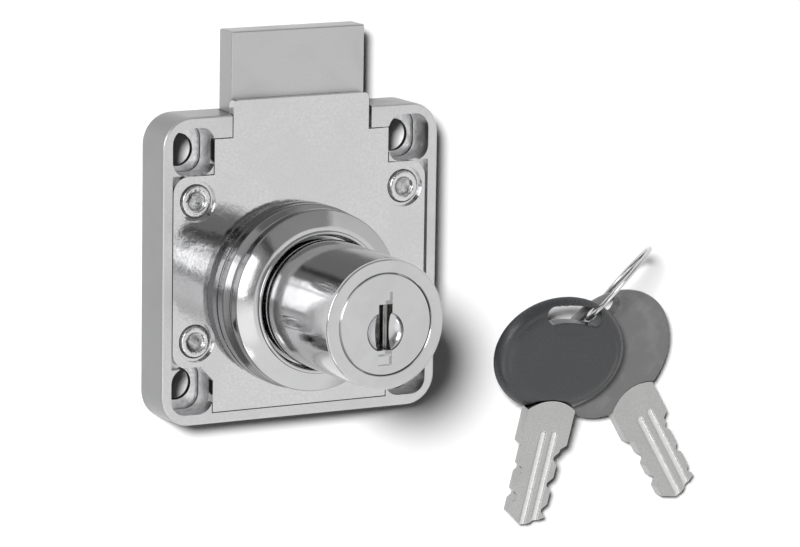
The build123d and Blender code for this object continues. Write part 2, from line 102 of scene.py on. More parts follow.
def node_box(node):
    """A node's lowest and highest corner, in millimetres."""
    return [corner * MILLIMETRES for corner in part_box(node)]


class CaseSizes(PropertyGroup):
    """The cast case, open at the front."""

    width: length("Width", "Across the case", node_size("case", 0))
    height: length("Height", "Along the bolt's way", node_size("case", 1))
    depth: length("Depth", "From the back to the front rim", node_size("case", 2))
    corner_radius: length("Corner radius", "Rounding of the four corners", 0.004)
    back_wall: length("Back wall", "Thickness of the back behind the bolt", 0.0011)
    rim_wall: length("Rim wall", "Thickness of the rim", 0.0014)
    pocket_width: length("Pocket width", "Width of the corner pockets", 0.00595)
    pocket_floor: length("Pocket floor", "Thickness of the floor of the corner pockets", 0.0016)
    screw_radius: length("Screw radius", "Radius of the screw holes", 0.00215)
    screw_head_radius: length("Screw head radius", "Radius of the countersinks", 0.003)


class PlateSizes(PropertyGroup):
    """The cover plate, let into the case's front."""

    thickness: length("Thickness", "Thickness of the sheet", node_size("cover_plate", 2))
    fit: length("Fit", "Gap round the plate", 0.00012)
    tab_width: length("Tab width", "Width of the tab over the bolt", 0.02)
    tab_overhang: length("Tab overhang", "How far the tab stands over the case's end", 0.0018)
    ear_reach: length("Ear reach", "How far an ear goes past its rivet", 0.0033)


class RivetSizes(PropertyGroup):
    """The staked rivets that hold the cover plate."""

    inset_x: length("Inset X", "From the case's side to a rivet", 0.0049)
    inset_y: length("Inset Y", "From the case's end to a rivet", 0.0109)
    shank_radius: length("Shank radius", "Radius of the shank", 0.0015)
    head_radius: length("Head radius", "Radius of the staked head", 0.0021)
    hammering: length("Hammering", "How uneven the staked metal is", 0.00006)
    seed: IntProperty(name="Seed", description="Changes how each rivet is turned", default=4)


class BoltSizes(PropertyGroup):
    """The bolt and its channel in the case."""

    width: length("Width", "Width of the bolt", node_size("bolt", 0))
    clearance: length("Clearance", "Gap between the bolt and its channel", 0.00015)
    slot_width: length("Slot width", "Length of the cross slot", 0.0124)
    slot_height: length("Slot height", "Width of the cross slot", 0.0053)


class CylinderSizes(PropertyGroup):
    """The cylinder housing and the plug in it."""

    axis_y: length("Axis place", "Where the cylinder's axis is along the bolt's way", -0.0041)
    spigot_radius: length("Spigot radius", "Radius in the cover plate's hole", 0.008)
    boss_radius: length("Boss radius", "Radius under the trim ring", 0.0086)
    boss_height: length("Boss height", "Height of the boss over the plate", 0.0049)
    neck_radius: length("Neck radius", "Radius where the barrel starts", 0.0074)
    barrel_radius: length("Barrel radius", "Radius of the barrel", 0.0084)
    plug_radius: length("Plug radius", "Radius of the plug", 0.00593)
    plug_gap: length("Plug gap", "Running gap round the plug", 0.00007)
    head_radius: length("Head radius", "Radius of the plug's head", 0.0065)


class KeyholeSizes(PropertyGroup):
    """The keyway and what is cut round it."""

    width: length("Width", "Width of the keyway", 0.00195)
    height: length("Height", "Height of the keyway", 0.0059)
    depth: length("Depth", "Depth of the keyway", 0.0124)
    dish_radius: length("Dish radius", "Radius of the dish that guides the key", 0.0026)
    dish_depth: length("Dish depth", "Depth of the dish", 0.001)


class RingSizes(PropertyGroup):
    """The trim ring."""

    bore: length("Bore", "Radius of the ring's bore", 0.00872)
    base_radius: length("Base radius", "Radius of the base lip", 0.0121)
    base_thickness: length("Base thickness", "Thickness of the base lip", 0.00135)
    band_radius: length("Band radius", "Radius of the front band", 0.01185)
    height: length("Height", "Height of the ring over the plate", 0.0061)


class KeySizes(PropertyGroup):
    """The two keys."""

    bow_width: length("Bow width", "Width of the moulded bow", 0.02)
    bow_height: length("Bow height", "Height of the moulded bow", 0.0164)
    bow_thickness: length("Bow thickness", "Thickness of the moulded bow", 0.0022)
    slot_length: length("Slot length", "Length of the slot for the ring", 0.0086)
    slot_width: length("Slot width", "Width of the slot for the ring", 0.0023)
    blade_thickness: length("Blade thickness", "Thickness of the blade", 0.0017)
    blade_width: length("Blade width", "Width of the blade", 0.0056)
    blade_length: length("Blade length", "Length of the blade", 0.0118)
    shoulder_width: length("Shoulder width", "Width of the shoulder", 0.0074)
    shoulder_length: length("Shoulder length", "Length of the shoulder", 0.0064)


class KeyRingSizes(PropertyGroup):
    """The wire ring through both keys, and where it stands."""

    radius: length("Radius", "Radius of the ring", 0.0063)
    wire_radius: length("Wire radius", "Radius of the wire", 0.0003)


class Finishes(PropertyGroup):
    """Colours and roughness of the finishes."""

    cast_chrome: colour("Cast chrome", "Satin chrome on the front of the casting", (0.58, 0.58, 0.585))
    # Painted shade: a darker copy of the casting's chrome for its sides
    dull_chrome: colour("Dull chrome", "Satin chrome on the sides of the casting", (0.31, 0.31, 0.315))
    bolt_chrome: colour("Bolt chrome", "Satin chrome on the bolt", (0.48, 0.48, 0.485))
    # Painted shade: a darker copy of the bolt's chrome for its sides
    bolt_sides: colour("Bolt sides", "Satin chrome on the bolt's sides", (0.38, 0.38, 0.385))
    sheet_chrome: colour("Sheet chrome", "Chrome on the cover plate", (0.60, 0.60, 0.605))
    mirror_chrome: colour("Mirror chrome", "Chrome on the turned pieces", (0.53, 0.53, 0.535))
    # Painted shade: a darker copy of the turned chrome for the trim ring's side
    ring_shaded_sides: colour("Ring sides", "Chrome on the trim ring's side", (0.23, 0.23, 0.235))
    nickel: colour("Nickel", "Plating of the key blades", (0.44, 0.44, 0.435))
    # Painted highlight, partly real cut metal: a brighter colour for the blades' grooves
    milled_nickel: colour("Milled nickel", "Plating in the blades' grooves", (0.66, 0.66, 0.655))
    wire: colour("Wire", "Plating of the key ring", (0.60, 0.60, 0.60))
    zinc: colour("Zinc", "Plain zinc of the drive cam", (0.42, 0.42, 0.43))
    wafer: colour("Wafer metal", "Nickel silver of the wafers", (0.62, 0.61, 0.585))
    plastic: colour("Plastic", "Moulded bows", (0.018, 0.019, 0.021))
    # Also the painted sheen that makes the rear bow lighter all over
    rubbed_plastic: colour("Rubbed plastic", "Film on the flat side of the bows", (0.15, 0.15, 0.152))
    cast_roughness: share("Cast roughness", "Roughness of the satin chrome", 0.30)
    sheet_roughness: share("Sheet roughness", "Roughness of the cover plate", 0.03)
    mirror_roughness: share("Mirror roughness", "Roughness of the turned pieces", 0.05)


class StageSizes(PropertyGroup):
    """The floor, the light and the camera."""

    floor_size: length("Floor size", "Side of the floor", 12.0)
    floor_colour: colour("Floor colour", "Colour of the floor", (0.90, 0.90, 0.90))
    sun_strength: FloatProperty(name="Sun strength", description="Strength of the key light", default=4.65, min=0.0)
    sun_spread: angle("Sun spread", "How wide, and so how soft, the key light is", 12)
    sun_azimuth: angle("Sun azimuth", "Where the key light is, from +X", 150)
    sun_height: angle("Sun height", "How high the key light is", 48.5)
    ambient: share("Ambient", "Share of the studio's light that is left after a scattering", 0.05)
    camera_place: FloatVectorProperty(name="Camera place", description="Where the camera is", unit="LENGTH",
                                      default=(-0.30025, 0.11379, 0.56625), subtype="TRANSLATION")
    camera_right: direction("Camera right", "The camera's right", (0.8729, 0.0147, 0.4877))
    camera_up: direction("Camera up", "The camera's up", (0.0742, 0.9839, -0.1624))
    lens: FloatProperty(name="Lens", description="Focal length in millimetres", default=225.0)


# Gaps, roundings and places of the details, in millimetres and radians; pillow_power is an exponent
DETAILS = {
    "case": dict(edge_round=0.3, inner_round=0.09, pocket_corner=2.0, screw_inset_x=4.25, screw_inset_y=4.75),
    "plate": dict(
        right_gap=0.3, edge_round=0.07, tab_corner=0.7, shoulder_drop=3.0, ear_corner=2.1, ear_chamfer_width=1.8,
        ear_chamfer_height=1.9
    ),
    "rivet": dict(
        shank_depth=2.6, recess_radius=2.65, recess_depth=0.5, dimple_radius=1.15, dimple_depth=0.45, head_drop=0.02,
        crown=0.3375, foot=0.06, brim=0.12, brim_rise=0.01, tip_chamfer=0.2
    ),
    "bolt": dict(channel_ledge=0.2, edge_round=0.25, slot_y=0.4, slot_corner=1.5),
    "cylinder": dict(
        spigot_flare=0.5, shoulder_height=2.7, nose_round=0.35, mouth_chamfer=0.1, head_length=1.2, head_gap=0.1,
        head_chamfer=0.15, cam_radius=6.5, cam_gap=0.1, groove_width=4.8, groove_depth=0.95, boss_round=0.15
    ),
    "keyhole": dict(
        drop=0.55, mouth_height=7.1, mouth_depth=0.9, recess_height=9.4, recess_depth=0.35, dish_drop=0.95,
        edge_round=0.06, slot_gap=0.05, screw_radius=1.0, tail_side=3.4, tail_length=0.8, tail_sink=0.05
    ),
    "ring": dict(
        seat_gap=0.05, neck_radius=11.0, band_start=3.4, band_edge=4.6, band_bulge=0.03, bead_width=0.6,
        bead_foot=0.12, bead_sink=0.02, round=0.3
    ),
    "key": dict(
        rim_width=1.5, rim_start=radians(10), rim_end=radians(60), pillow_slope=1.9, pillow_height=0.5,
        pillow_power=2.2, back_round=0.45, slot_x=0.35, slot_y=6.1, slot_radius=16.0, scoop_length=2.6,
        scoop_radius=4.0, scoop_shift=-0.6, scoop_drop=0.3, scoop_depth=0.32, arch_width=9.2, arch_height=2.1,
        mould_step=0.12, blade_round=0.07, shoulder_slope=0.6, shoulder_gap=0.1, cut_start=1.9, cut_pitch=1.9,
        cut_flat=0.4, tip_x=-0.6, tip_left=1.7, tip_right=1.2, groove_radius=0.6, groove_lift=0.3,
        groove_reach=1.5, groove_skin=0.01
    ),
    "key_ring": dict(gap_angle=radians(5), x=48.34, y=-6.32, z=6.06, turn=radians(-46.25), rise=radians(26.56)),
}

# The dimple that staking leaves in a rivet: shares of its radius, and heights above its bottom
DIMPLE = ((0, 0.10), (0.35, 0.08), (0.55, 0.0), (0.8, 0.02))

# Depths of each key's notches, from the shoulder to the tip
KEY_CUTS = {
    "front": (0.7, 0.4, 0.8, 0.5, 0.7),
    "rear": (0.4, 0.8, 0.5, 0.8, 0.4),
}

# Where the grooves are across a blade, and how far from upright the faces are that take the grooves' brighter colour,
# partly cut metal and partly a painted highlight
GROOVE_PLACES = (-0.5, 1.28)
GROOVE_FACING = 0.4

# Each key's slot from the ring's middle, the key's turn, and which of its sides is up
KEY_PLACES = {
    "front": ((-7.711, -3.341, 0.6785), radians(-7.0), 1),
    "rear": ((-2.098, -5.096, -4.123), radians(31.2), -1),
}


def in_millimetres(settings):
    """A PropertyGroup's lengths in millimetres, and its other values as they are."""
    values = {}
    for prop in settings.bl_rna.properties:
        if prop.identifier in ("rna_type", "name"):
            continue
        value = getattr(settings, prop.identifier)
        values[prop.identifier] = value * MILLIMETRES if prop.unit == "LENGTH" else value
    return values


# Outlines

def four_corners(x, y):
    """The four places at plus and minus x and y, anticlockwise."""
    return [(-x, -y), (x, -y), (x, y), (-x, y)]


def rounded_outline(corners, radii, steps=8):
    """A closed outline's points, with each corner rounded by its own radius."""
    points = []
    for n, (corner, radius) in enumerate(zip(corners, radii)):
        here = Vector(corner)
        if radius <= 0:
            points.append(here)
            continue
        before = (Vector(corners[n - 1]) - here).normalized()
        after = (Vector(corners[(n + 1) % len(corners)]) - here).normalized()
        half = before.angle(after) / 2
        centre = here + (before + after).normalized() * (radius / sin(half))
        first = (here + before * (radius / tan(half)) - centre).normalized()
        last = (here + after * (radius / tan(half)) - centre).normalized()
        points += [centre + first.slerp(last, k / steps) * radius for k in range(steps + 1)]
    return points


def moved(points, x, y):
    """Outline points moved by x and y."""
    return [(p[0] + x, p[1] + y) for p in points]


def rectangle(width, height, radius=0.0, steps=8):
    """A rectangle's outline about the origin, with rounded corners."""
    return rounded_outline(four_corners(width / 2, height / 2), [radius] * 4, steps)


def circle(radius, steps=COARSE_STEPS):
    """A circle's outline about the origin."""
    return [(radius * cos(2 * pi * k / steps), radius * sin(2 * pi * k / steps)) for k in range(steps)]


def arc(centre, radius, start, end, steps):
    """Points on an arc, from one angle to another."""
    turns = [start + (end - start) * k / steps for k in range(steps + 1)]
    return [(centre[0] + radius * cos(a), centre[1] + radius * sin(a)) for a in turns]


def quarter(steps):
    """Angles from 0 to a quarter turn."""
    return [pi / 2 * k / steps for k in range(steps + 1)]


def cover_outline(case, plate, rivet, grow, rounded):
    """The cover plate's outline, grown all round by a gap."""
    tab = plate.tab_width / 2 + grow
    inner_x = case.width / 2 - case.rim_wall
    inner_y = case.height / 2 - case.rim_wall
    waist = inner_x - case.pocket_width + grow
    ear = inner_x - plate.fit + grow
    shoulder = case.height / 2 - plate.shoulder_drop + grow
    ear_end = case.height / 2 - rivet.inset_y + plate.ear_reach
    right = [
        (waist, -inner_y + plate.fit - grow),
        (waist, -ear_end - plate.ear_chamfer_height),
        (waist - grow + plate.ear_chamfer_width, -ear_end - grow),
        (ear, -ear_end - grow),
        (ear, ear_end + grow),
        (waist, ear_end + grow),
        (waist, shoulder),
        (tab, shoulder),
        (tab, case.height / 2 + plate.tab_overhang),
    ]
    left = [(-x, y) for x, y in reversed(right)]
    if not rounded:
        return [Vector(corner) for corner in right + left]
    corners = [(x - plate.right_gap, y) if x > waist else (x, y) for x, y in right[:5]]
    corners += right[5:7] + [(x - plate.right_gap, y) for x, y in right[7:]] + left
    radii = [0, 0, 0, plate.ear_corner, plate.ear_corner, 0, 0, 0, plate.tab_corner]
    return rounded_outline(corners, radii + radii[::-1])


# Meshes, in millimetres until they are placed

def new_piece(name, points, faces):
    """A mesh object whose faces point outwards."""
    mesh = bpy.data.meshes.new(name)
    mesh.from_pydata([tuple(point) for point in points], [], faces)
    shape = bmesh.new()
    shape.from_mesh(mesh)
    bmesh.ops.recalc_face_normals(shape, faces=shape.faces)
    shape.to_mesh(mesh)
    shape.free()
    piece = bpy.data.objects.new(name, mesh)
    bpy.context.scene.collection.objects.link(piece)
    return piece


def prism(name, outline, low, high):
    """A solid with one outline, from one height to another."""
    count = len(outline)
    points = [(p[0], p[1], low) for p in outline] + [(p[0], p[1], high) for p in outline]
    faces = [tuple(range(count)), tuple(range(count, 2 * count))]
    faces += [(n, (n + 1) % count, count + (n + 1) % count, count + n) for n in range(count)]
    return new_piece(name, points, faces)


def turned(name, profile, centre=(0.0, 0.0), steps=FINE_STEPS):
    """A solid turned about an upright axis from a closed profile of radius and height."""
    points = []
    rings = []
    for radius, height in profile:
        count = steps if radius > 0 else 1
        rings.append(range(len(points), len(points) + count))
        for k in range(count):
            turn = 2 * pi * k / steps
            points.append((centre[0] + radius * cos(turn), centre[1] + radius * sin(turn), height))
    faces = []
    for n, ring in enumerate(rings):
        after = rings[(n + 1) % len(rings)]
        if len(ring) == 1 and len(after) == 1:
            continue
        for k in range(steps):
            corners = [row[at % len(row)] for row, at in ((ring, k), (ring, k + 1), (after, k + 1), (after, k))]
            faces.append(tuple(dict.fromkeys(corners)))
    return new_piece(name, points, faces)


def tube_faces(rows, sides):
    """The faces of a tube of rows of points, closed at both ends."""
    faces = [(n * sides + k, n * sides + (k + 1) % sides, (n + 1) * sides + (k + 1) % sides, (n + 1) * sides + k)
             for n in range(rows - 1) for k in range(sides)]
    last = (rows - 1) * sides
    return faces + [tuple(range(sides)), tuple(range(last, last + sides))]


def capsule(name, radius, start, end):
    """A round bar with round ends, from start to end."""
    reach = (end - start).length
    profile = [(0, -radius)] + arc((0, 0), radius, radians(-75), 0, 5)
    profile += arc((0, reach), radius, 0, radians(75), 5) + [(0, reach + radius)]
    piece = turned(name, profile, steps=24)
    turn = Vector((0, 0, 1)).rotation_difference(end - start).to_matrix().to_4x4()
    piece.data.transform(Matrix.Translation(start) @ turn)
    return piece


def apply_modifiers(piece):
    """Turns what the modifiers make into the piece's own mesh."""
    depsgraph = bpy.context.evaluated_depsgraph_get()
    mesh = bpy.data.meshes.new_from_object(piece.evaluated_get(depsgraph), depsgraph=depsgraph)
    old = piece.data
    piece.modifiers.clear()
    piece.data = mesh
    bpy.data.meshes.remove(old)


def combine(piece, tool, operation="DIFFERENCE"):
    """Cuts a tool out of the piece, or adds it, and removes the tool."""
    modifier = piece.modifiers.new("combine", "BOOLEAN")
    modifier.object = tool
    modifier.operation = operation
    modifier.solver = "EXACT"
    apply_modifiers(piece)
    mesh = tool.data
    bpy.data.objects.remove(tool)
    bpy.data.meshes.remove(mesh)


def cut(piece, outline, low, high):
    """Cuts an outline out of the piece, from one height to another."""
    combine(piece, prism("cut", outline, low, high))


def clean(piece):
    """Merges doubled points and flat neighbours that the cuts left."""
    shape = bmesh.new()
    shape.from_mesh(piece.data)
    bmesh.ops.remove_doubles(shape, verts=shape.verts, dist=0.002)
    bmesh.ops.dissolve_limit(shape, angle_limit=radians(0.5), verts=shape.verts, edges=shape.edges)
    shape.to_mesh(piece.data)
    shape.free()


def round_edges(piece, width, segments=3, angle=radians(40)):
    """Rounds the edges that turn by more than an angle."""
    modifier = piece.modifiers.new("round", "BEVEL")
    modifier.width = width
    modifier.segments = segments
    modifier.limit_method = "ANGLE"
    modifier.angle_limit = angle
    apply_modifiers(piece)


def smooth(piece, angle=radians(38)):
    """Shades the piece smooth up to an angle, with its flats kept flat."""
    piece.data.shade_smooth()
    piece.data.set_sharp_from_angle(angle=angle)
    modifier = piece.modifiers.new("normals", "WEIGHTED_NORMAL")
    modifier.keep_sharp = True
    apply_modifiers(piece)


def place(piece, body, slot, material, *nodes):
    """Brings a finished mesh to metres, and gives it its material and its body."""
    piece.data.transform(Matrix.Scale(1 / MILLIMETRES, 4))
    piece.data.name = piece.name
    piece.data.materials.clear()
    piece.data.materials.append(material)
    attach(piece, body)
    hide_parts(*nodes)


# Shader node groups

def feed(tree, socket, value):
    """Gives a socket a value, or links it to another socket."""
    if isinstance(value, bpy.types.NodeSocket):
        tree.links.new(value, socket)
    else:
        socket.default_value = value


def feed_all(tree, node, **inputs):
    """Feeds a node's inputs by name, with underscores for spaces."""
    for name, value in inputs.items():
        feed(tree, node.inputs[name.replace("_", " ")], value)
    return node


def add_node(tree, kind, **inputs):
    """A node whose inputs are values or sockets."""
    return feed_all(tree, tree.nodes.new(kind), **inputs)


def add_math(tree, operation, *values, kind="ShaderNodeMath", output=0):
    """A math node's result."""
    node = tree.nodes.new(kind)
    node.operation = operation
    for socket, value in zip(node.inputs, values):
        feed(tree, socket, value)
    return node.outputs[output]


def add_range(tree, value, low, high, new_low=0.0, new_high=1.0):
    """A value brought smoothly from one range to another."""
    node = add_node(tree, "ShaderNodeMapRange", Value=value, From_Min=low, From_Max=high, To_Min=new_low,
                    To_Max=new_high)
    node.interpolation_type = "SMOOTHSTEP"
    return node.outputs["Result"]


def add_mix(tree, factor, first, second):
    """A mix of two colours."""
    node = tree.nodes.new("ShaderNodeMix")
    node.data_type = "RGBA"
    for name, value in (("Factor_Float", factor), ("A_Color", first), ("B_Color", second)):
        feed(tree, next(socket for socket in node.inputs if socket.identifier == name), value)
    return next(socket for socket in node.outputs if socket.identifier == "Result_Color")


def add_group(tree, group, **inputs):
    """A node that uses one of the groups."""
    node = tree.nodes.new("ShaderNodeGroup")
    node.node_tree = group
    return feed_all(tree, node, **inputs)


def add_place(tree, output="Object"):
    """Where a point is on the piece, or which way its surface faces."""
    return add_node(tree, "ShaderNodeTexCoord").outputs[output]


def add_part(tree, vector, axis):
    """A vector's part along an axis."""
    return add_node(tree, "ShaderNodeSeparateXYZ", Vector=vector).outputs[axis]


def new_group(name, inputs, outputs):
    """A shader node group with named inputs and outputs: the group, its input node and its output node."""
    tree = bpy.data.node_groups.new(name, "ShaderNodeTree")
    for label, kind, value in inputs:
        socket = tree.interface.new_socket(label, in_out="INPUT", socket_type=kind)
        if value is not None:
            socket.default_value = value
    for label, kind in outputs:
        tree.interface.new_socket(label, in_out="OUTPUT", socket_type=kind)
    return tree, tree.nodes.new("NodeGroupInput"), tree.nodes.new("NodeGroupOutput")


NUMBER = "NodeSocketFloat"
DIRECTION = "NodeSocketVector"


def plating_waves():
    """Slow waves and fine grain of a plated surface, as a normal, with the grain as a mask."""
    tree, given, result = new_group(
        "plating_waves",
        [("Wave Scale", NUMBER, 300.0), ("Wave Height", NUMBER, 0.1), ("Grain Scale", NUMBER, 4000.0),
         ("Grain Height", NUMBER, 0.1)],
        [("Normal", DIRECTION), ("Grain", NUMBER)],
    )
    place_out = add_place(tree)
    waves = add_node(tree, "ShaderNodeTexNoise", Vector=place_out, Scale=given.outputs["Wave Scale"], Detail=2.0)
    grain = add_node(tree, "ShaderNodeTexNoise", Vector=place_out, Scale=given.outputs["Grain Scale"], Detail=4.0,
                     Roughness=0.65)
    slow = add_node(tree, "ShaderNodeBump", Strength=given.outputs["Wave Height"], Distance=0.0004,
                    Height=waves.outputs["Fac"])
    fine = add_node(tree, "ShaderNodeBump", Strength=given.outputs["Grain Height"], Distance=0.00003,
                    Height=grain.outputs["Fac"], Normal=slow.outputs["Normal"])
    feed_all(tree, result, Normal=fine.outputs["Normal"], Grain=grain.outputs["Fac"])
    return tree


def handling_marks():
    """Faint smears and hairline scratches, as masks."""
    tree, given, result = new_group(
        "handling_marks",
        [("Smear Scale", NUMBER, 120.0), ("Scratch Scale", NUMBER, 500.0)],
        [("Smears", NUMBER), ("Scratches", NUMBER)],
    )
    place_out = add_place(tree)
    smears = add_node(tree, "ShaderNodeTexNoise", Vector=place_out, Scale=given.outputs["Smear Scale"], Detail=5.0,
                      Roughness=0.6, Distortion=0.6)
    soft = add_range(tree, smears.outputs["Fac"], 0.42, 0.68)
    turned_place = add_node(tree, "ShaderNodeMapping", Vector=place_out, Rotation=(0.3, 0.2, 0.7),
                            Scale=(1.0, 14.0, 3.0))
    hairs = add_node(tree, "ShaderNodeTexNoise", Vector=turned_place.outputs["Vector"],
                     Scale=given.outputs["Scratch Scale"], Detail=3.0, Roughness=0.7)
    thin = add_range(tree, hairs.outputs["Fac"], 0.66, 0.74)
    feed_all(tree, result, Smears=soft, Scratches=thin)
    return tree


def height_film():
    """A film between the back and a height, in broken patches, as a mask."""
    tree, given, result = new_group(
        "height_film",
        [("Back", NUMBER, 0.0), ("Floor", NUMBER, 0.0055), ("Top", NUMBER, 0.0061), ("Scale", NUMBER, 1200.0)],
        [("Dirt", NUMBER)],
    )
    place_out = add_place(tree)
    height = add_part(tree, place_out, "Z")
    depth = add_range(tree, height, given.outputs["Floor"], given.outputs["Top"], 1.0, 0.0)
    patches = add_node(tree, "ShaderNodeTexNoise", Vector=place_out, Scale=given.outputs["Scale"], Detail=4.0)
    broken = add_range(tree, patches.outputs["Fac"], 0.35, 0.65, 0.35, 1.0)
    inside = add_math(tree, "MULTIPLY", broken, add_math(tree, "GREATER_THAN", height, given.outputs["Back"]))
    feed_all(tree, result, Dirt=add_math(tree, "MULTIPLY", depth, inside))
    return tree


def shade_band():
    """A band between two heights, as a mask, for painted shade on the walls of a recess."""
    tree, given, result = new_group(
        "shade_band",
        [("Low", NUMBER, 0.0), ("High", NUMBER, 0.001), ("Edge", NUMBER, 0.00003)],
        [("Band", NUMBER)],
    )
    height = add_part(tree, add_place(tree), "Z")
    low, high, edge = (given.outputs[label] for label in ("Low", "High", "Edge"))
    above = add_range(tree, height, add_math(tree, "SUBTRACT", low, edge), low)
    below = add_range(tree, height, high, add_math(tree, "ADD", high, edge), 1.0, 0.0)
    feed_all(tree, result, Band=add_math(tree, "MULTIPLY", above, below))
    return tree


def new_material(name):
    """A material: its node tree and its shader, ready to be filled in."""
    material = bpy.data.materials.new(name)
    material.use_nodes = True
    return material, material.node_tree, material.node_tree.nodes["Principled BSDF"]


def rgba(value, factor=1.0):
    """A colour with full alpha, made lighter or darker."""
    return tuple(part * factor for part in value) + (1.0,)


# How much of a plastic's film is left where it is faintest, and how much of it a scratch shows
FAINT_FILM = 0.75
SCRATCH_FILM = 0.25

# How dark smears and the bands of painted shade are, what scratches and film add to the roughness, and the ranges of
# the masks
SMEAR_SHADE = 0.93
SCRATCH_ROUGHNESS = 0.18
FILM_ROUGHNESS = 0.25
BAND_PAINTED_SHADE = 0.05
MIDDLE_GRAIN = (0.35, 0.65)
TOP_FACING = (0.3, 0.95)
REACH_EDGE = 0.00015


def plated_metal(name, base, roughness, wave=0.05, grain=0.06, wave_scale=300.0, grain_scale=4000.0, smear=0.08,
                 film_floor=None, film_top=None, film_shade=0.45, film_back=0.0, shaded_side_base=None,
                 side_slope=(0.2, 0.8), side_reach=None, top_shade=1.0, painted_shade_bands=(), milled_highlight=None, fleck=0.0):
    """A plated metal: slow waves, fine grain, smears and hairlines.

    It may have a rougher film of another shade below a height, sides and tops darkened with painted shade, bands of
    painted shade at some heights and grooves made brighter, partly as cut metal and partly as a painted highlight.
    """
    material, tree, shader = new_material(name)
    waves = add_group(tree, GROUPS["plating_waves"], Wave_Scale=wave_scale, Wave_Height=wave,
                      Grain_Scale=grain_scale, Grain_Height=grain)
    marks = add_group(tree, GROUPS["handling_marks"])
    tint = add_mix(tree, marks.outputs["Smears"], rgba(base), rgba(base, SMEAR_SHADE))
    if fleck > 0:
        tint = add_mix(tree, add_range(tree, waves.outputs["Grain"], *MIDDLE_GRAIN), rgba(base, 1 - fleck), tint)
    rough = add_math(tree, "MULTIPLY_ADD", marks.outputs["Smears"], smear, roughness)
    rough = add_math(tree, "MULTIPLY_ADD", marks.outputs["Scratches"], SCRATCH_ROUGHNESS, rough)
    # Painted highlight, partly real cut metal: the marked faces in the grooves take a brighter colour in streaks
    if milled_highlight is not None:
        marked = tree.nodes.new("ShaderNodeAttribute")
        marked.attribute_name = "milled_highlight"
        streaks = add_range(tree, waves.outputs["Grain"], *MIDDLE_GRAIN, 0.65, 1.0)
        tint = add_mix(tree, add_math(tree, "MULTIPLY", marked.outputs["Fac"], streaks), tint, rgba(milled_highlight))
    upright = None
    outer = 0.0
    # Painted shade: the sides take a darker copy of the colour, and the tops a darker one still
    if shaded_side_base is not None:
        facing = add_place(tree, "Normal")
        top = add_range(tree, add_part(tree, facing, "Y"), *TOP_FACING)
        side_shade_tint = add_mix(tree, top, rgba(shaded_side_base), rgba(shaded_side_base, top_shade))
        upright = add_range(tree, add_math(tree, "ABSOLUTE", add_part(tree, facing, "Z")), *side_slope, 1.0, 0.0)
        if side_reach is not None:
            far = (add_math(tree, "ABSOLUTE", add_part(tree, add_place(tree), axis)) for axis in "XY")
            far = add_math(tree, "MAXIMUM", *far)
            outer = add_range(tree, far, side_reach, side_reach + REACH_EDGE)
            upright = add_math(tree, "MULTIPLY", upright, outer)
    # A film below a height, in broken patches, of another shade and rougher: darker in the keyway and rivets, lighter
    # in the casting's pockets
    if film_floor is not None:
        film = add_group(tree, GROUPS["height_film"], Back=film_back, Floor=film_floor, Top=film_top)
        film = film.outputs["Dirt"]
        if upright is not None:
            film = add_math(tree, "MULTIPLY", film, add_math(tree, "SUBTRACT", 1.0, upright))
        tint = add_mix(tree, film, tint, rgba(base, film_shade))
        rough = add_math(tree, "MULTIPLY_ADD", film, FILM_ROUGHNESS, rough)
    # Painted shade: near-black bands at given heights, kept off the outer walls
    for low, high in painted_shade_bands:
        band = add_group(tree, GROUPS["shade_band"], Low=low, High=high).outputs["Band"]
        inside = add_math(tree, "MULTIPLY", band, add_math(tree, "SUBTRACT", 1.0, outer))
        tint = add_mix(tree, inside, tint, rgba(base, BAND_PAINTED_SHADE))
    if upright is not None:
        tint = add_mix(tree, upright, tint, side_shade_tint)
    feed_all(tree, shader, Base_Color=tint, Roughness=rough, Normal=waves.outputs["Normal"], Metallic=1.0)
    return material


def moulded_plastic(name, base, film, film_share):
    """Moulded plastic with a spark-eroded grain and a lighter film: rubbed smears at a small share, a painted sheen
    all over at a full share.
    """
    material, tree, shader = new_material(name)
    waves = add_group(tree, GROUPS["plating_waves"], Wave_Scale=500.0, Wave_Height=0.05, Grain_Scale=5200.0,
                      Grain_Height=0.35)
    marks = add_group(tree, GROUPS["handling_marks"], Smear_Scale=260.0, Scratch_Scale=260.0)
    rubbed = add_range(tree, marks.outputs["Smears"], 0.0, 1.0, film_share * FAINT_FILM, film_share)
    tint = add_mix(tree, rubbed, rgba(base), rgba(film))
    scratched = add_math(tree, "MULTIPLY", marks.outputs["Scratches"], SCRATCH_FILM)
    tint = add_mix(tree, scratched, tint, rgba(film))
    rough = add_range(tree, waves.outputs["Grain"], 0.3, 0.7, 0.24, 0.36)
    feed_all(tree, shader, Base_Color=tint, Roughness=rough, Normal=waves.outputs["Normal"], Specular_IOR_Level=0.6)
    return material


def make_groups():
    """The effects that more than one finish uses."""
    return {make.__name__: make() for make in (plating_waves, handling_marks, height_film, shade_band)}


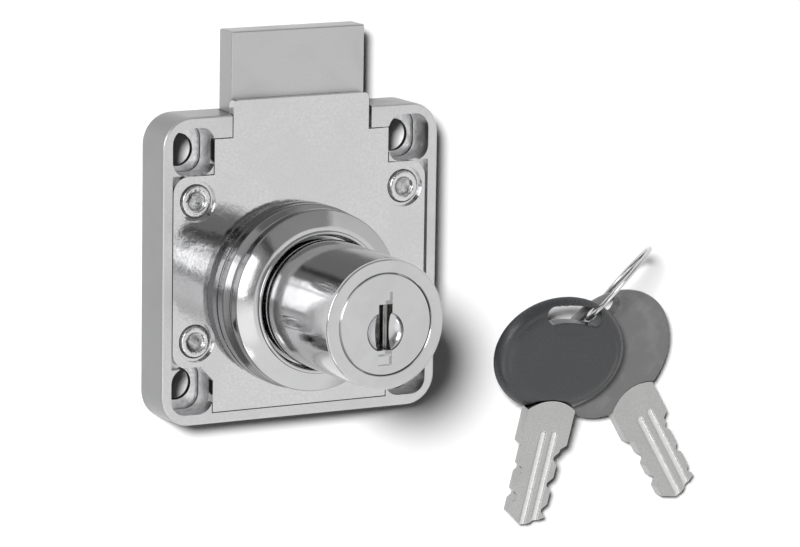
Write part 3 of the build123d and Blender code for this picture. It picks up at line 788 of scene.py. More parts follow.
def make_materials(finish, case):
    """Every finish of the lock and its keys, by name, all in metres.

    The numbers after a metal's roughness are the height of its waves and its grain, and the scales of both.
    """
    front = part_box("cover_plate")[1].z
    keyway_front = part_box("cylinder_housing")[1].z
    # Heights below which the plug grows darker and rougher deeper in its keyway, and the rivets towards the bottom of
    # their dimples and seats
    keyway_film = (keyway_front - 0.004, keyway_front - 0.0006)
    seat_film = (front - 0.00045, front)
    inner_reach = case.width / 2 - case.rim_wall + 0.00005
    sink = case.screw_head_radius - case.screw_radius
    # Painted shade: the walls of the screw holes and the corner round the pockets' floors are darkened between these
    # heights
    hole_shade = (sink + 0.00004, case.pocket_floor - 0.00008)
    pocket_corner_shade = (case.pocket_floor + 0.00005, case.pocket_floor + 0.00038)
    return {
        # The casting: below 4.5 mm its inside takes a lighter, rougher film, partly a rough-cast finish and partly a
        # painted pool of light; painted shade darkens its outer sides, its top more so, and bands in the screw holes
        # and round the pockets' floors
        "case": plated_metal(
            "satin_chrome_casting", finish.cast_chrome, finish.cast_roughness, 0.03, 0.12, 260.0, 3000.0,
            film_floor=0.0045, film_top=0.0055, film_shade=1.6, film_back=sink, shaded_side_base=finish.dull_chrome,
            side_reach=inner_reach, top_shade=0.75, painted_shade_bands=(hole_shade, pocket_corner_shade), fleck=0.08),
        # The bolt: painted shade darkens its sides, and its top more so
        "bolt": plated_metal(
            "satin_chrome_bolt", finish.bolt_chrome, finish.cast_roughness, 0.02, 0.12, 200.0, 3600.0,
            shaded_side_base=finish.bolt_sides, top_shade=0.84, fleck=0.05),
        "plate": plated_metal("chrome_sheet", finish.sheet_chrome, finish.sheet_roughness, 0.05, 0.16, 420.0, 2600.0,
                              smear=0.05, fleck=0.10),
        "rivet": plated_metal("staked_chrome", finish.sheet_chrome, finish.sheet_roughness, 0.25, 0.45, 1500.0,
                              6000.0, 0.12, *seat_film),
        "barrel": plated_metal("mirror_chrome_barrel", finish.mirror_chrome, finish.mirror_roughness, 0.06, 0.14),
        # The trim ring: painted shade darkens its side
        "collar": plated_metal("mirror_chrome_collar", finish.mirror_chrome, finish.mirror_roughness, 0.08, 0.20,
                               shaded_side_base=finish.ring_shaded_sides, side_slope=(0.7, 0.87)),
        "plug": plated_metal("mirror_chrome_plug", finish.mirror_chrome, 0.12, 0.03, 0.08, 500.0, 4200.0, 0.08,
                             *keyway_film),
        "cam": plated_metal("plain_zinc", finish.zinc, 0.42, 0.05, 0.3, 300.0, 2400.0),
        "wafer": plated_metal("stamped_nickel_silver", finish.wafer, 0.3, 0.03, 0.15),
        "spring": plated_metal("spring_steel", finish.wire, 0.25, 0.0, 0.1),
        # The blade: its grooves take a brighter colour, partly cut metal and partly a painted highlight
        "blade": plated_metal("nickel_blade", finish.nickel, 0.2, 0.12, 0.5, 900.0, 5200.0,
                              milled_highlight=finish.milled_nickel, fleck=0.15),
        "wire": plated_metal("nickel_wire", finish.wire, 0.14, 0.02, 0.1),
        "front_bow": moulded_plastic("black_plastic", finish.plastic, finish.rubbed_plastic, 0.03),
        # Painted sheen: the rear bow takes the lighter film all over, a lit copy of the front bow's plastic
        "rear_bow": moulded_plastic("sheen_black_plastic", finish.plastic, finish.rubbed_plastic, 1.0),
    }


GROUPS = {}
MATERIALS = {}


def sizes(context):
    """Every piece's sizes and details, in millimetres."""
    return SimpleNamespace(**{
        name: SimpleNamespace(**in_millimetres(getattr(context.scene, f"lock_{name}")), **details)
        for name, details in DETAILS.items()
    })


def rivet_places(case, rivet):
    """Where the rivets are, from the case's middle."""
    return case.width / 2 - rivet.inset_x, case.height / 2 - rivet.inset_y


class LOCK_OT_case(Operator):
    """Models the cast case with its recess, bolt channel, corner pockets and screw holes"""

    bl_idname = "drawer_lock.case"
    bl_label = "Case"

    def execute(self, context):
        s = sizes(context)
        case, plate, rivet, bolt = s.case, s.plate, s.rivet, s.bolt
        plate_back = case.depth - plate.thickness
        top = case.depth + OVERSHOOT
        shell = prism("case_shell", rectangle(case.width, case.height, case.corner_radius, 14), 0, case.depth)
        round_edges(shell, case.edge_round, 4, radians(60))
        inner_x = case.width / 2 - case.rim_wall
        inner_y = case.height / 2 - case.rim_wall
        channel_end = case.height / 2 + OVERSHOOT
        channel_start = -inner_y + bolt.channel_ledge
        channel = rectangle(bolt.width + 2 * bolt.clearance, channel_end - channel_start)
        channel = moved(channel, 0, (channel_end + channel_start) / 2)
        cut(shell, channel, case.back_wall, plate_back + OVERSHOOT)
        cut(shell, cover_outline(case, plate, rivet, plate.fit, False), plate_back, top)
        ear_end = case.height / 2 - rivet.inset_y + plate.ear_reach
        pocket = rectangle(case.pocket_width, inner_y - ear_end, case.pocket_corner)
        for x, y in four_corners(inner_x - case.pocket_width / 2, (inner_y + ear_end) / 2):
            cut(shell, moved(pocket, x, y), case.pocket_floor, top)
        sink = case.screw_head_radius - case.screw_radius
        hole = [(0, -OVERSHOOT), (case.screw_head_radius + OVERSHOOT, -OVERSHOOT), (case.screw_radius, sink),
                (case.screw_radius, case.pocket_floor + OVERSHOOT), (0, case.pocket_floor + OVERSHOOT)]
        for x, y in four_corners(case.width / 2 - case.screw_inset_x, case.height / 2 - case.screw_inset_y):
            combine(shell, turned("screw_hole", hole, (x, y), COARSE_STEPS))
        for x, y in four_corners(*rivet_places(case, rivet)):
            cut(shell, moved(circle(rivet.shank_radius), x, y), plate_back - rivet.shank_depth, plate_back + OVERSHOOT)
        clean(shell)
        round_edges(shell, case.inner_round, 2, radians(50))
        smooth(shell)
        place(shell, "lock_body", "satin_chrome", MATERIALS["case"], "case")
        return {"FINISHED"}


class LOCK_OT_cover_plate(Operator):
    """Models the cover plate with its tab, ears, rivet recesses and the cylinder's hole"""

    bl_idname = "drawer_lock.cover_plate"
    bl_label = "Cover plate"

    def execute(self, context):
        s = sizes(context)
        case, plate, rivet, cylinder = s.case, s.plate, s.rivet, s.cylinder
        back = case.depth - plate.thickness
        sheet = prism("cover_sheet", cover_outline(case, plate, rivet, 0.0, True), back, case.depth)
        seat = case.depth - rivet.recess_depth
        top = case.depth + OVERSHOOT
        hole = [(0, back - OVERSHOOT), (rivet.shank_radius, back - OVERSHOOT), (rivet.shank_radius, seat),
                (rivet.recess_radius, seat), (rivet.recess_radius, top), (0, top)]
        for x, y in four_corners(*rivet_places(case, rivet)):
            combine(sheet, turned("rivet_seat", hole, (x, y), COARSE_STEPS))
        flare, radius = cylinder.spigot_flare, cylinder.spigot_radius
        bore = [(0, back - flare), (radius + 2 * flare, back - flare), (radius, back + flare), (radius, top),
                (0, top)]
        combine(sheet, turned("cylinder_hole", bore, (0, cylinder.axis_y), COARSE_STEPS * 2))
        clean(sheet)
        round_edges(sheet, plate.edge_round, 2, radians(50))
        smooth(sheet)
        place(sheet, "lock_body", "plate_steel", MATERIALS["plate"], "cover_plate")
        return {"FINISHED"}


def rivet_pattern(material):
    """Geometry nodes that set the rivet at the four places, turn each by chance and hammer its head."""
    tree = bpy.data.node_groups.new("rivet_pattern", "GeometryNodeTree")
    tree.interface.new_socket("Geometry", in_out="INPUT", socket_type="NodeSocketGeometry")
    for name in ("Spacing X", "Spacing Y", "Hammering"):
        tree.interface.new_socket(name, in_out="INPUT", socket_type=NUMBER)
    tree.interface.new_socket("Seed", in_out="INPUT", socket_type="NodeSocketInt")
    tree.interface.new_socket("Geometry", in_out="OUTPUT", socket_type="NodeSocketGeometry")
    given = tree.nodes.new("NodeGroupInput")
    result = tree.nodes.new("NodeGroupOutput")
    grid = add_node(tree, "GeometryNodeMeshGrid", Size_X=given.outputs["Spacing X"],
                    Size_Y=given.outputs["Spacing Y"], Vertices_X=2, Vertices_Y=2)
    chance = tree.nodes.new("FunctionNodeRandomValue")
    chance.data_type = "FLOAT_VECTOR"
    feed(tree, chance.inputs[0], (0, 0, 0))
    feed(tree, chance.inputs[1], (0, 0, 2 * pi))
    feed_all(tree, chance, Seed=given.outputs["Seed"])
    copies = add_node(tree, "GeometryNodeInstanceOnPoints", Points=grid.outputs["Mesh"],
                      Instance=given.outputs["Geometry"], Rotation=chance.outputs[0])
    real = add_node(tree, "GeometryNodeRealizeInstances", Geometry=copies.outputs["Instances"])
    bumps = add_node(tree, "ShaderNodeTexNoise", Scale=1.6, Detail=3.0)
    centred = add_math(tree, "SUBTRACT", bumps.outputs["Color"], (0.5, 0.5, 0.5), kind="ShaderNodeVectorMath")
    scaled = add_math(tree, "SCALE", centred, kind="ShaderNodeVectorMath")
    feed_all(tree, scaled.node, Scale=given.outputs["Hammering"])
    struck = add_node(tree, "GeometryNodeSetPosition", Geometry=real.outputs["Geometry"], Offset=scaled)
    finished = add_node(tree, "GeometryNodeSetMaterial", Geometry=struck.outputs["Geometry"], Material=material)
    feed_all(tree, result, Geometry=finished.outputs["Geometry"])
    return tree


def set_input(modifier, name, value):
    """Sets a node modifier's input by the socket's identifier."""
    items = modifier.node_group.interface.items_tree
    socket = next(i for i in items if i.name == name and i.in_out == "INPUT")
    modifier[socket.identifier] = value


class LOCK_OT_rivets(Operator):
    """Models a staked rivet and sets it at the four places"""

    bl_idname = "drawer_lock.rivets"
    bl_label = "Rivets"

    def execute(self, context):
        s = sizes(context)
        case, plate, rivet = s.case, s.plate, s.rivet
        seat = case.depth - rivet.recess_depth
        tip = case.depth - plate.thickness - rivet.shank_depth
        bottom = case.depth - rivet.dimple_depth
        rim = (rivet.head_radius + rivet.dimple_radius) / 2
        lip = (rivet.head_radius - rivet.dimple_radius) / 2
        crest = case.depth - rivet.head_drop
        profile = [(rivet.dimple_radius * part, bottom + height) for part, height in DIMPLE]
        profile += [(rim - lip * cos(a), crest - rivet.crown * (1 - sin(a)))
                    for a in (pi * k / 12 for k in range(1, 11))]
        profile += [(rivet.head_radius, seat + rivet.foot), (rivet.head_radius + rivet.brim, seat + rivet.brim_rise),
                    (rivet.shank_radius, seat - rivet.brim_rise), (rivet.shank_radius, tip + rivet.tip_chamfer),
                    (rivet.shank_radius - rivet.tip_chamfer, tip), (0, tip)]
        heads = turned("rivet_heads", profile, steps=72)
        x, y = rivet_places(case, rivet)
        modifier = heads.modifiers.new("pattern", "NODES")
        modifier.node_group = rivet_pattern(MATERIALS["rivet"])
        inputs = {"Spacing X": 2 * x, "Spacing Y": 2 * y, "Hammering": rivet.hammering, "Seed": rivet.seed}
        for name, value in inputs.items():
            set_input(modifier, name, value)
        apply_modifiers(heads)
        heads.data.shade_smooth()
        place(heads, "lock_body", "plate_steel", MATERIALS["rivet"], "cover_rivets")
        return {"FINISHED"}


class LOCK_OT_bolt(Operator):
    """Models the bolt with its cross slot"""

    bl_idname = "drawer_lock.bolt"
    bl_label = "Bolt"

    def execute(self, context):
        bolt = sizes(context).bolt
        low, high = node_box("bolt")
        outline = moved(rectangle(bolt.width, high.y - low.y), 0, (low.y + high.y) / 2)
        bar = prism("bolt_bar", outline, low.z, high.z)
        slot = moved(rectangle(bolt.slot_width, bolt.slot_height, bolt.slot_corner), 0, bolt.slot_y)
        cut(bar, slot, low.z - OVERSHOOT, high.z + OVERSHOOT)
        clean(bar)
        round_edges(bar, bolt.edge_round, 4, radians(60))
        smooth(bar)
        place(bar, "bolt", "satin_chrome", MATERIALS["bolt"], "bolt")
        return {"FINISHED"}


def cylinder_levels(s):
    """Heights along the cylinder's axis."""
    back, front = (corner.z for corner in node_box("cylinder_housing"))
    cam_front = node_box("drive_cam")[1].z
    return SimpleNamespace(
        front=front,
        back=back,
        plate_front=s.case.depth,
        boss_front=s.case.depth + s.cylinder.boss_height,
        cam_front=cam_front,
        cam_seat=cam_front + s.cylinder.cam_gap,
        head_back=front - s.cylinder.head_length,
        head_seat=front - s.cylinder.head_length - s.cylinder.head_gap,
    )


class LOCK_OT_housing(Operator):
    """Models the cylinder housing with its boss, shoulder, barrel and the wafers' grooves"""

    bl_idname = "drawer_lock.housing"
    bl_label = "Cylinder housing"

    def execute(self, context):
        s = sizes(context)
        cylinder = s.cylinder
        z = cylinder_levels(s)
        nose = cylinder.nose_round
        bore = cylinder.plug_radius + cylinder.plug_gap
        mouth = cylinder.head_radius + cylinder.plug_gap
        chamfer = cylinder.mouth_chamfer
        barrel = cylinder.barrel_radius
        profile = [(mouth + chamfer, z.front), (mouth, z.front - chamfer), (mouth, z.head_seat), (bore, z.head_seat),
                   (bore, z.cam_seat), (cylinder.cam_radius, z.cam_seat), (cylinder.cam_radius, z.back),
                   (cylinder.spigot_radius + cylinder.spigot_flare, z.back),
                   (cylinder.spigot_radius, z.back + cylinder.spigot_flare), (cylinder.spigot_radius, z.plate_front)]
        corner = cylinder.boss_round
        profile += [(cylinder.boss_radius, z.plate_front), (cylinder.boss_radius, z.boss_front - corner)]
        profile += arc((cylinder.boss_radius - corner, z.boss_front - corner), corner, 0, pi / 2, 4)
        step = barrel - cylinder.neck_radius
        profile += [(cylinder.neck_radius + step * sin(a), z.boss_front + cylinder.shoulder_height * (1 - cos(a)))
                    for a in quarter(16)]
        profile += arc((barrel - nose, z.front - nose), nose, 0, pi / 2, 8)
        housing = turned("housing_barrel", profile, (0, cylinder.axis_y))
        groove = rectangle(cylinder.groove_width, 2 * (bore + cylinder.groove_depth))
        cut(housing, moved(groove, 0, cylinder.axis_y), z.cam_seat, z.head_seat)
        smooth(housing)
        place(housing, "lock_body", "bright_chrome", MATERIALS["barrel"], "cylinder_housing")
        return {"FINISHED"}


class LOCK_OT_trim_ring(Operator):
    """Models the trim ring with its base lip, groove, bowed band and bead"""

    bl_idname = "drawer_lock.trim_ring"
    bl_label = "Trim ring"

    def execute(self, context):
        s = sizes(context)
        ring = s.ring
        low = s.case.depth + ring.seat_gap
        top = s.case.depth + ring.height
        band_back = s.case.depth + ring.band_start
        band_front = s.case.depth + ring.band_edge
        lip = low + ring.base_thickness
        bead_end = ring.bore + ring.bead_width
        outer = [(ring.base_radius, low), (ring.base_radius, lip), (ring.neck_radius, (lip + band_back) / 2),
                 (ring.band_radius, band_back), (ring.band_radius, band_front)]
        slope_top = top - ring.round
        corners = [(ring.bore, low)] + outer + [(bead_end + ring.round, slope_top), (ring.bore, slope_top)]
        radii = [0, ring.round, ring.round, 2 * ring.round, ring.round, ring.round, 0, 0]
        profile = [tuple(p) for p in rounded_outline(corners, radii, 6)]
        slope_start, slope_end = Vector(profile[-3]), Vector(profile[-2])
        across = (slope_end - slope_start).normalized().orthogonal()
        across = across if across.y > 0 else -across
        bowed = [slope_start.lerp(slope_end, k / 12) + across * ring.band_bulge * sin(pi * k / 12)
                 for k in range(1, 12)]
        bead_radius = (bead_end - ring.bore) / 2
        bead = arc((ring.bore + bead_radius, top - bead_radius), bead_radius, 0, pi, 12)
        foot = (bead_end + ring.bead_foot, slope_top - ring.bead_sink)
        profile = profile[:-2] + [tuple(p) for p in bowed] + [foot] + bead
        collar = turned("trim_collar", profile, (0, s.cylinder.axis_y))
        smooth(collar)
        place(collar, "trim_ring", "bright_chrome", MATERIALS["collar"], "trim_ring")
        return {"FINISHED"}


class LOCK_OT_plug(Operator):
    """Models the plug with its keyway, dish and wafer slots"""

    bl_idname = "drawer_lock.plug"
    bl_label = "Plug"

    def execute(self, context):
        s = sizes(context)
        cylinder, hole = s.cylinder, s.keyhole
        z = cylinder_levels(s)
        axis = (0, cylinder.axis_y)
        chamfer = cylinder.head_chamfer
        screw_end = node_box("cam_screw")[1].z
        head, body = cylinder.head_radius, cylinder.plug_radius
        profile = [(0, screw_end), (hole.screw_radius, screw_end), (hole.screw_radius, z.cam_front),
                   (body, z.cam_front), (body, z.head_back), (head, z.head_back), (head, z.front - chamfer),
                   (head - chamfer, z.front), (0, z.front)]
        core = turned("plug_core", profile, axis)
        tail_end = z.cam_front - hole.tail_length
        square = moved(rectangle(hole.tail_side, hole.tail_side), *axis)
        tail = prism("tail", square, tail_end, z.cam_front + hole.tail_sink)
        cut(tail, moved(circle(hole.screw_radius), *axis), tail_end - OVERSHOOT, z.cam_front + OVERSHOOT)
        combine(core, tail, "UNION")
        keyway_y = cylinder.axis_y - hole.drop
        top = z.front + OVERSHOOT
        steps = ((hole.height, hole.depth), (hole.mouth_height, hole.mouth_depth),
                 (hole.recess_height, hole.recess_depth))
        for height, depth in steps:
            cut(core, moved(rectangle(hole.width, height), 0, keyway_y), z.front - depth, top)
        dish = [(hole.dish_radius * sin(a), z.front - hole.dish_depth * cos(a)) for a in quarter(14)]
        dish += [(hole.dish_radius, top), (0, top)]
        combine(core, turned("dish", dish, (0, cylinder.axis_y - hole.dish_drop), 96))
        slot = moved(rectangle(cylinder.groove_width - 2 * hole.slot_gap, 2 * body + OVERSHOOT), *axis)
        for n in WAFERS:
            low, high = node_box(f"wafer_{n}")
            cut(core, slot, low.z - hole.slot_gap, high.z + hole.slot_gap)
        clean(core)
        round_edges(core, hole.edge_round, 2, radians(55))
        smooth(core)
        place(core, "plug", "bright_chrome", MATERIALS["plug"], "plug")
        return {"FINISHED"}


class LOCK_OT_inner_parts(Operator):
    """Finishes the drive cam, its screw, the wafers and their springs"""

    bl_idname = "drawer_lock.inner_parts"
    bl_label = "Inner parts"

    def execute(self, context):
        finishes = {"drive_cam": "cam", "cam_screw": "spring"}
        for n in WAFERS:
            finishes[f"wafer_{n}"] = "wafer"
            finishes[f"wafer_spring_{n}"] = "spring"
        for node, finish in finishes.items():
            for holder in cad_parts[node].material_slots:
                holder.material = MATERIALS[finish]
        return {"FINISHED"}


def key_lines(key):
    """Heights along a key from its bow's middle, with the blade towards -Y."""
    shoulder_top = -key.bow_height / 2 + key.arch_height
    shoulder_end = shoulder_top - key.shoulder_length
    arch_radius = (key.arch_width ** 2 / 4 + key.arch_height ** 2) / (2 * key.arch_height)
    return SimpleNamespace(shoulder_end=shoulder_end, tip=shoulder_end - key.blade_length, arch_radius=arch_radius,
                           arch_y=shoulder_top - arch_radius)


def key_matrix(s, name):
    """Where a key lies: its slot hangs on the ring and the tip of its blade touches the surface."""
    offset, turn, _ = KEY_PLACES[name]
    slot = Vector((s.key_ring.x, s.key_ring.y, s.key_ring.z)) + Vector(offset)
    reach = s.key.slot_y - key_lines(s.key).tip
    half = s.key.blade_thickness / 2
    tilt = asin(slot.z / hypot(reach, half)) - atan2(half, reach)
    across = Vector((cos(turn), sin(turn), 0))
    along = Vector((-sin(turn) * cos(tilt), cos(turn) * cos(tilt), sin(tilt)))
    out = across.cross(along)
    origin = slot - along * s.key.slot_y
    frame_axes = Matrix((across, along, out)).transposed().to_4x4()
    return Matrix.Translation(origin) @ frame_axes


def bow_section(key, side):
    """Distances in from the bow's outline and heights, from the middle of the upper face round to the lower one."""
    half = key.bow_thickness / 2
    foot = half - key.pillow_height
    pillow = [(key.rim_width + key.pillow_slope * (1 - t), half - key.pillow_height * t ** key.pillow_power)
              for t in (k / 14 for k in range(15))]
    bend = key.rim_end - key.rim_start
    fall = key.rim_width / bend
    rim = [(key.rim_width * (1 - t), foot - fall * log(cos(key.rim_start) / cos(key.rim_start + bend * t)))
           for t in (k / 12 for k in range(1, 13))]
    back = [(key.back_round * (1 - cos(a)), -(half - key.back_round) - key.back_round * sin(a)) for a in quarter(8)]
    section = pillow + rim + back
    return [(inset, height * side) for inset, height in section]


def oval_solid(name, width, height, section, steps=160):
    """A solid with an oval outline and one section all round, closed at its middle on both faces."""
    points = []
    for inset, level in section:
        for k in range(steps):
            turn = 2 * pi * k / steps
            points.append(((width / 2 - inset) * cos(turn), (height / 2 - inset) * sin(turn), level))
    return new_piece(name, points, tube_faces(len(section), steps))


class LOCK_OT_key_bows(Operator):
    """Models both keys' moulded bows: raised to a pillow on one side, flat on the other"""

    bl_idname = "drawer_lock.key_bows"
    bl_label = "Key bows"

    def execute(self, context):
        s = sizes(context)
        key = s.key
        lines = key_lines(key)
        deep = key.bow_thickness
        half_turn = (key.slot_length - key.slot_width) / key.slot_radius / 2
        x, y = key.slot_x, key.slot_y - key.slot_radius
        first, last = pi / 2 - half_turn, pi / 2 + half_turn
        outer = arc((x, y), key.slot_radius + key.slot_width / 2, first, last, 12)
        inner = arc((x, y), key.slot_radius - key.slot_width / 2, last, first, 12)
        rounds = []
        for turn, start in ((last, last), (first, first - pi)):
            centre = (x + key.slot_radius * cos(turn), y + key.slot_radius * sin(turn))
            rounds.append(arc(centre, key.slot_width / 2, start, start + pi, 10)[1:-1])
        slot = outer + rounds[0] + inner + rounds[1]
        for name, (_, _, side) in KEY_PLACES.items():
            bow = oval_solid(f"{name}_bow", key.bow_width, key.bow_height, bow_section(key, side))
            cut(bow, slot, -deep, deep)
            cut(bow, moved(circle(lines.arch_radius, 128), 0, lines.arch_y), -deep, deep)
            scoop_x = key.slot_x + key.scoop_shift
            scoop_y = key.slot_y - key.slot_width / 2 - key.scoop_drop
            scoop_z = side * (key.bow_thickness / 2 - key.scoop_depth + key.scoop_radius)
            ends = [Vector((scoop_x + step * key.scoop_length / 2, scoop_y, scoop_z)) for step in (-1, 1)]
            combine(bow, capsule("scoop", key.scoop_radius, *ends))
            moulding = bow.modifiers.new("moulding", "REMESH")
            moulding.mode = "VOXEL"
            moulding.voxel_size = key.mould_step
            relaxing = bow.modifiers.new("relaxing", "SMOOTH")
            relaxing.factor = 0.5
            relaxing.iterations = 6
            apply_modifiers(bow)
            bow.data.shade_smooth()
            bow.data.transform(key_matrix(s, name))
            place(bow, f"{name}_key", "bow_plastic", MATERIALS[f"{name}_bow"], f"{name}_key_bow")
        return {"FINISHED"}


def blade_outline(key, lines, cuts):
    """A blade's outline: the arched shoulder, then the notches down to the tip."""
    half = key.blade_width / 2
    shoulder = key.shoulder_width / 2

    def notches(side):
        points = []
        for n in range(side, len(cuts), 2):
            middle = lines.shoulder_end - key.cut_start - key.cut_pitch * n
            flat, depth = key.cut_flat / 2, cuts[n]
            points += [(half, middle + flat + depth), (half - depth, middle + flat), (half - depth, middle - flat),
                       (half, middle - flat - depth)]
        return points

    crown = lines.arch_radius - key.shoulder_gap
    sweep = asin(shoulder / crown)
    arch = arc((0, lines.arch_y), crown, pi / 2 - sweep, pi / 2 + sweep, 16)
    left = [(-half, lines.tip + key.tip_left)] + [(-x, y) for x, y in reversed(notches(1))]
    left += [(-half, lines.shoulder_end - key.shoulder_slope), (-shoulder, lines.shoulder_end)]
    right = [(shoulder, lines.shoulder_end), (half, lines.shoulder_end - key.shoulder_slope)] + notches(0)
    right += [(half, lines.tip + key.tip_right), (key.tip_x, lines.tip)]
    return arch + left[::-1] + right[::-1]


def mark_grooves(blade, key):
    """Marks the faces in the grooves for a brighter colour, partly cut metal and partly a painted highlight: near a
    groove, sunk and not upright.
    """
    level = key.blade_thickness / 2 - key.groove_skin
    milled_highlight = blade.data.attributes.new("milled_highlight", "FLOAT", "FACE")
    for face in blade.data.polygons:
        sunk = abs(face.center.z) < level and abs(face.normal.z) > GROOVE_FACING
        near = any(abs(abs(face.center.x) - abs(x)) < key.groove_radius for x in GROOVE_PLACES)
        milled_highlight.data[face.index].value = float(sunk and near)


class LOCK_OT_key_blades(Operator):
    """Models both keys' blades with their notches and milled grooves"""

    bl_idname = "drawer_lock.key_blades"
    bl_label = "Key blades"

    def execute(self, context):
        s = sizes(context)
        key = s.key
        lines = key_lines(key)
        half = key.blade_thickness / 2
        for name, cuts in KEY_CUTS.items():
            blade = prism(f"{name}_blade", blade_outline(key, lines, cuts), -half, half)
            for face in (1, -1):
                for place_x in GROOVE_PLACES:
                    height = face * (half + key.groove_lift)
                    start = Vector((face * place_x, lines.tip - OVERSHOOT, height))
                    end = Vector((face * place_x, lines.shoulder_end + key.groove_reach, height))
                    combine(blade, capsule("groove", key.groove_radius, start, end))
            clean(blade)
            round_edges(blade, key.blade_round, 2, radians(30))
            smooth(blade, radians(30))
            mark_grooves(blade, key)
            blade.data.transform(key_matrix(s, name))
            place(blade, f"{name}_key", "key_nickel", MATERIALS["blade"], f"{name}_key_blade")
        return {"FINISHED"}


class LOCK_OT_key_ring(Operator):
    """Models the wire ring through both keys"""

    bl_idname = "drawer_lock.key_ring"
    bl_label = "Key ring"

    def execute(self, context):
        ring = sizes(context).key_ring
        axis = Vector((cos(ring.rise) * cos(ring.turn), cos(ring.rise) * sin(ring.turn), sin(ring.rise)))
        level = Vector((-sin(ring.turn), cos(ring.turn), 0))
        third = axis.cross(level)
        centre = Vector((ring.x, ring.y, ring.z))
        steps, sides = 160, 20
        sweep = 2 * pi - ring.gap_angle
        cap = [(-ring.wire_radius * cos(a), ring.wire_radius * sin(a)) for a in quarter(5)[1:-1]]
        rows = [(0.0, along, radius) for along, radius in cap]
        rows += [(sweep * k / steps, 0.0, ring.wire_radius) for k in range(steps + 1)]
        rows += [(sweep, -along, radius) for along, radius in reversed(cap)]
        points = []
        for turn, along, radius in rows:
            out = level * cos(turn) + third * sin(turn)
            way = third * cos(turn) - level * sin(turn)
            middle = centre + out * ring.radius + way * along
            for k in range(sides):
                a = 2 * pi * k / sides
                points.append(middle + (out * cos(a) + axis * sin(a)) * radius)
        wire = new_piece("ring_wire", points, tube_faces(len(rows), sides))
        wire.data.shade_smooth()
        place(wire, "key_ring", "ring_wire", MATERIALS["wire"], "key_ring")
        return {"FINISHED"}


# How much a panel faces a direction at the least, and how bright the bare walls are at the horizon and above
PANEL_FACING = 0.05
WALL_SHADES = (0.80, 0.90)


def studio_panel():
    """A soft-edged panel in the studio's walls, as a mask over directions."""
    tree, given, result = new_group(
        "studio_panel",
        [(label, DIRECTION, None) for label in ("Direction", "Centre", "Across", "Up")]
        + [("Half Width", NUMBER, 0.3), ("Half Height", NUMBER, 0.3), ("Softness", NUMBER, 0.1)],
        [("Mask", NUMBER)],
    )

    def dot(label):
        return add_math(tree, "DOT_PRODUCT", given.outputs["Direction"], given.outputs[label],
                        kind="ShaderNodeVectorMath", output="Value")

    facing = dot("Centre")
    mask = add_math(tree, "GREATER_THAN", facing, PANEL_FACING)
    for label, half in (("Across", "Half Width"), ("Up", "Half Height")):
        distance = add_math(tree, "ABSOLUTE", add_math(tree, "DIVIDE", dot(label), facing))
        inner = add_math(tree, "SUBTRACT", given.outputs[half], given.outputs["Softness"])
        outer = add_math(tree, "ADD", given.outputs[half], given.outputs["Softness"])
        mask = add_math(tree, "MULTIPLY", mask, add_range(tree, distance, inner, outer, 1.0, 0.0))
    feed_all(tree, result, Mask=mask)
    return tree


# Just below the lock's back, in metres, so that the two faces don't meet
FLOOR_LEVEL = -0.00002

# The studio's panels: name, azimuth, elevation, half width, half height, softness and brightness
STUDIO_PANELS = (
    ("front_softbox", -20, 59, 0.60, 0.60, 0.25, 1.05),
    ("lower_fill", 262, 42, 1.10, 0.75, 0.30, 1.15),
    ("dark_wall", 80, 42, 0.52, 0.45, 0.06, 0.40),
    ("dark_ceiling", 128, 62, 0.50, 0.42, 0.10, 0.38),
    ("black_band", 113, 57, 0.05, 0.30, 0.04, 0.10),
    ("dark_low_left", 215, 16, 0.75, 0.22, 0.08, 0.30),
    ("low_sparkle", 238, 36, 0.11, 0.09, 0.03, 4.2),
    ("lower_left", 222, 57, 0.20, 0.25, 0.12, 1.50),
    ("left_strip", 160, 44, 0.25, 0.335, 0.02, 3.8),
    ("strip_seam", 147, 44, 0.02, 0.335, 0.015, 1.6),
)


def make_world(ambient):
    """A studio with light and dark panels, of which only a share is left after a first scattering."""
    world = bpy.data.worlds.new("studio")
    bpy.context.scene.world = world
    world.use_nodes = True
    tree = world.node_tree
    background = tree.nodes["Background"]
    direction = add_place(tree, "Generated")
    light = add_range(tree, add_part(tree, direction, "Z"), 0.0, 1.0, *WALL_SHADES)
    shade = add_node(tree, "ShaderNodeCombineColor", Red=light, Green=light, Blue=light).outputs["Color"]
    group = studio_panel()
    for name, azimuth, elevation, half_width, half_height, softness, brightness in STUDIO_PANELS:
        a, e = radians(azimuth), radians(elevation)
        panel = add_group(
            tree, group, Direction=direction, Centre=(cos(e) * cos(a), cos(e) * sin(a), sin(e)),
            Across=(-sin(a), cos(a), 0), Up=(-sin(e) * cos(a), -sin(e) * sin(a), cos(e)), Half_Width=half_width,
            Half_Height=half_height, Softness=softness)
        panel.label = name
        shade = add_mix(tree, panel.outputs["Mask"], shade, (brightness, brightness, brightness, 1.0))
    paths = add_node(tree, "ShaderNodeLightPath")
    scattered = add_math(tree, "MINIMUM", paths.outputs["Diffuse Depth"], 1.0)
    feed_all(tree, background, Color=shade, Strength=add_math(tree, "MULTIPLY_ADD", scattered, ambient - 1.0, 1.0))


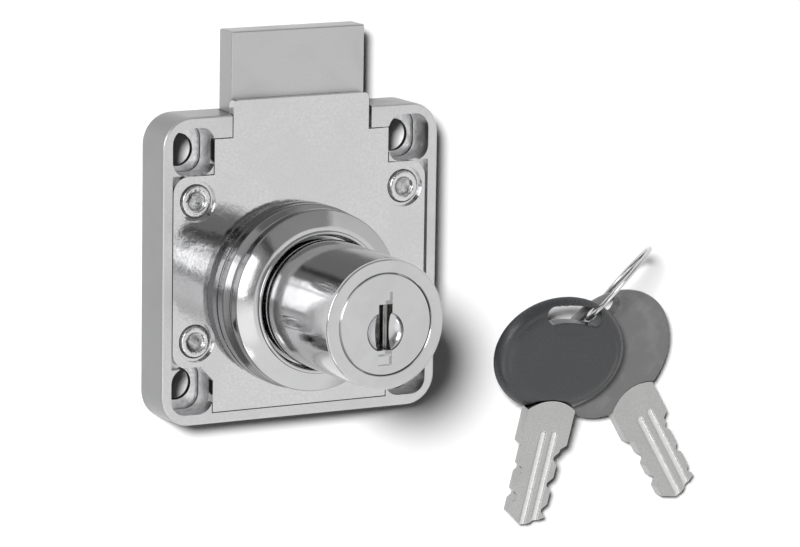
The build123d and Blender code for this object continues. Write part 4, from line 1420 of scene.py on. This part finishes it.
class LOCK_OT_stage(Operator):
    """Sets up the floor, the studio light and the camera"""

    bl_idname = "drawer_lock.stage"
    bl_label = "Stage"

    def execute(self, context):
        stage = context.scene.lock_stage
        half = stage.floor_size / 2
        floor = new_piece("floor", [(x, y, 0) for x, y in four_corners(half, half)], [(0, 1, 2, 3)])
        floor.data.transform(Matrix.Translation((0, 0, FLOOR_LEVEL)))
        material, tree, shader = new_material("pale_floor")
        feed_all(tree, shader, Base_Color=rgba(stage.floor_colour), Roughness=1.0, Specular_IOR_Level=0.0)
        floor.data.materials.append(material)

        lamp = bpy.data.lights.new("key_light", "SUN")
        lamp.energy = stage.sun_strength
        lamp.angle = stage.sun_spread
        lamp_object = bpy.data.objects.new("key_light", lamp)
        flat = cos(stage.sun_height)
        towards = Vector((flat * cos(stage.sun_azimuth), flat * sin(stage.sun_azimuth), sin(stage.sun_height)))
        lamp_object.rotation_euler = towards.to_track_quat("Z", "Y").to_euler()
        lamp_object.visible_glossy = False
        context.scene.collection.objects.link(lamp_object)
        make_world(stage.ambient)

        camera = bpy.data.cameras.new("camera")
        camera.lens = stage.lens
        camera.sensor_width = 36.0
        camera.clip_start = 0.01
        camera_object = bpy.data.objects.new("camera", camera)
        right = Vector(stage.camera_right).normalized()
        back = right.cross(Vector(stage.camera_up)).normalized()
        axes = Matrix((right, back.cross(right), back)).transposed().to_4x4()
        camera_object.matrix_world = Matrix.Translation(stage.camera_place) @ axes
        context.scene.collection.objects.link(camera_object)
        context.scene.camera = camera_object
        context.scene.view_settings.view_transform = "Standard"
        return {"FINISHED"}


OPERATORS = (
    LOCK_OT_stage,
    LOCK_OT_case,
    LOCK_OT_cover_plate,
    LOCK_OT_rivets,
    LOCK_OT_bolt,
    LOCK_OT_housing,
    LOCK_OT_trim_ring,
    LOCK_OT_plug,
    LOCK_OT_inner_parts,
    LOCK_OT_key_bows,
    LOCK_OT_key_blades,
    LOCK_OT_key_ring,
)
SETTINGS = {
    "lock_case": CaseSizes,
    "lock_plate": PlateSizes,
    "lock_rivet": RivetSizes,
    "lock_bolt": BoltSizes,
    "lock_cylinder": CylinderSizes,
    "lock_keyhole": KeyholeSizes,
    "lock_ring": RingSizes,
    "lock_key": KeySizes,
    "lock_key_ring": KeyRingSizes,
    "lock_finish": Finishes,
    "lock_stage": StageSizes,
}


class LOCK_PT_pieces(Panel):
    """Lists the lock's pieces and their sizes"""

    bl_idname = "LOCK_PT_pieces"
    bl_label = "Drawer lock"
    bl_space_type = "VIEW_3D"
    bl_region_type = "UI"
    bl_category = "Drawer lock"

    def draw(self, context):
        for operator in OPERATORS:
            self.layout.operator(operator.bl_idname)
        for name, group in SETTINGS.items():
            box = self.layout.box()
            box.label(text=group.__doc__)
            for prop in group.__annotations__:
                box.prop(getattr(context.scene, name), prop)


def register():
    for group in SETTINGS.values():
        bpy.utils.register_class(group)
    for operator in OPERATORS:
        bpy.utils.register_class(operator)
    bpy.utils.register_class(LOCK_PT_pieces)
    for name, group in SETTINGS.items():
        setattr(bpy.types.Scene, name, PointerProperty(type=group))


def unregister():
    for name in SETTINGS:
        delattr(bpy.types.Scene, name)
    bpy.utils.unregister_class(LOCK_PT_pieces)
    for operator in reversed(OPERATORS):
        bpy.utils.unregister_class(operator)
    for group in reversed(list(SETTINGS.values())):
        bpy.utils.unregister_class(group)


def main():
    """Makes every piece and the stage."""
    register()
    scene = bpy.context.scene
    GROUPS.update(make_groups())
    MATERIALS.update(make_materials(scene.lock_finish, scene.lock_case))
    for operator in OPERATORS:
        group, name = operator.bl_idname.split(".")
        getattr(getattr(bpy.ops, group), name)()


if __name__ == "__main__":
    main()
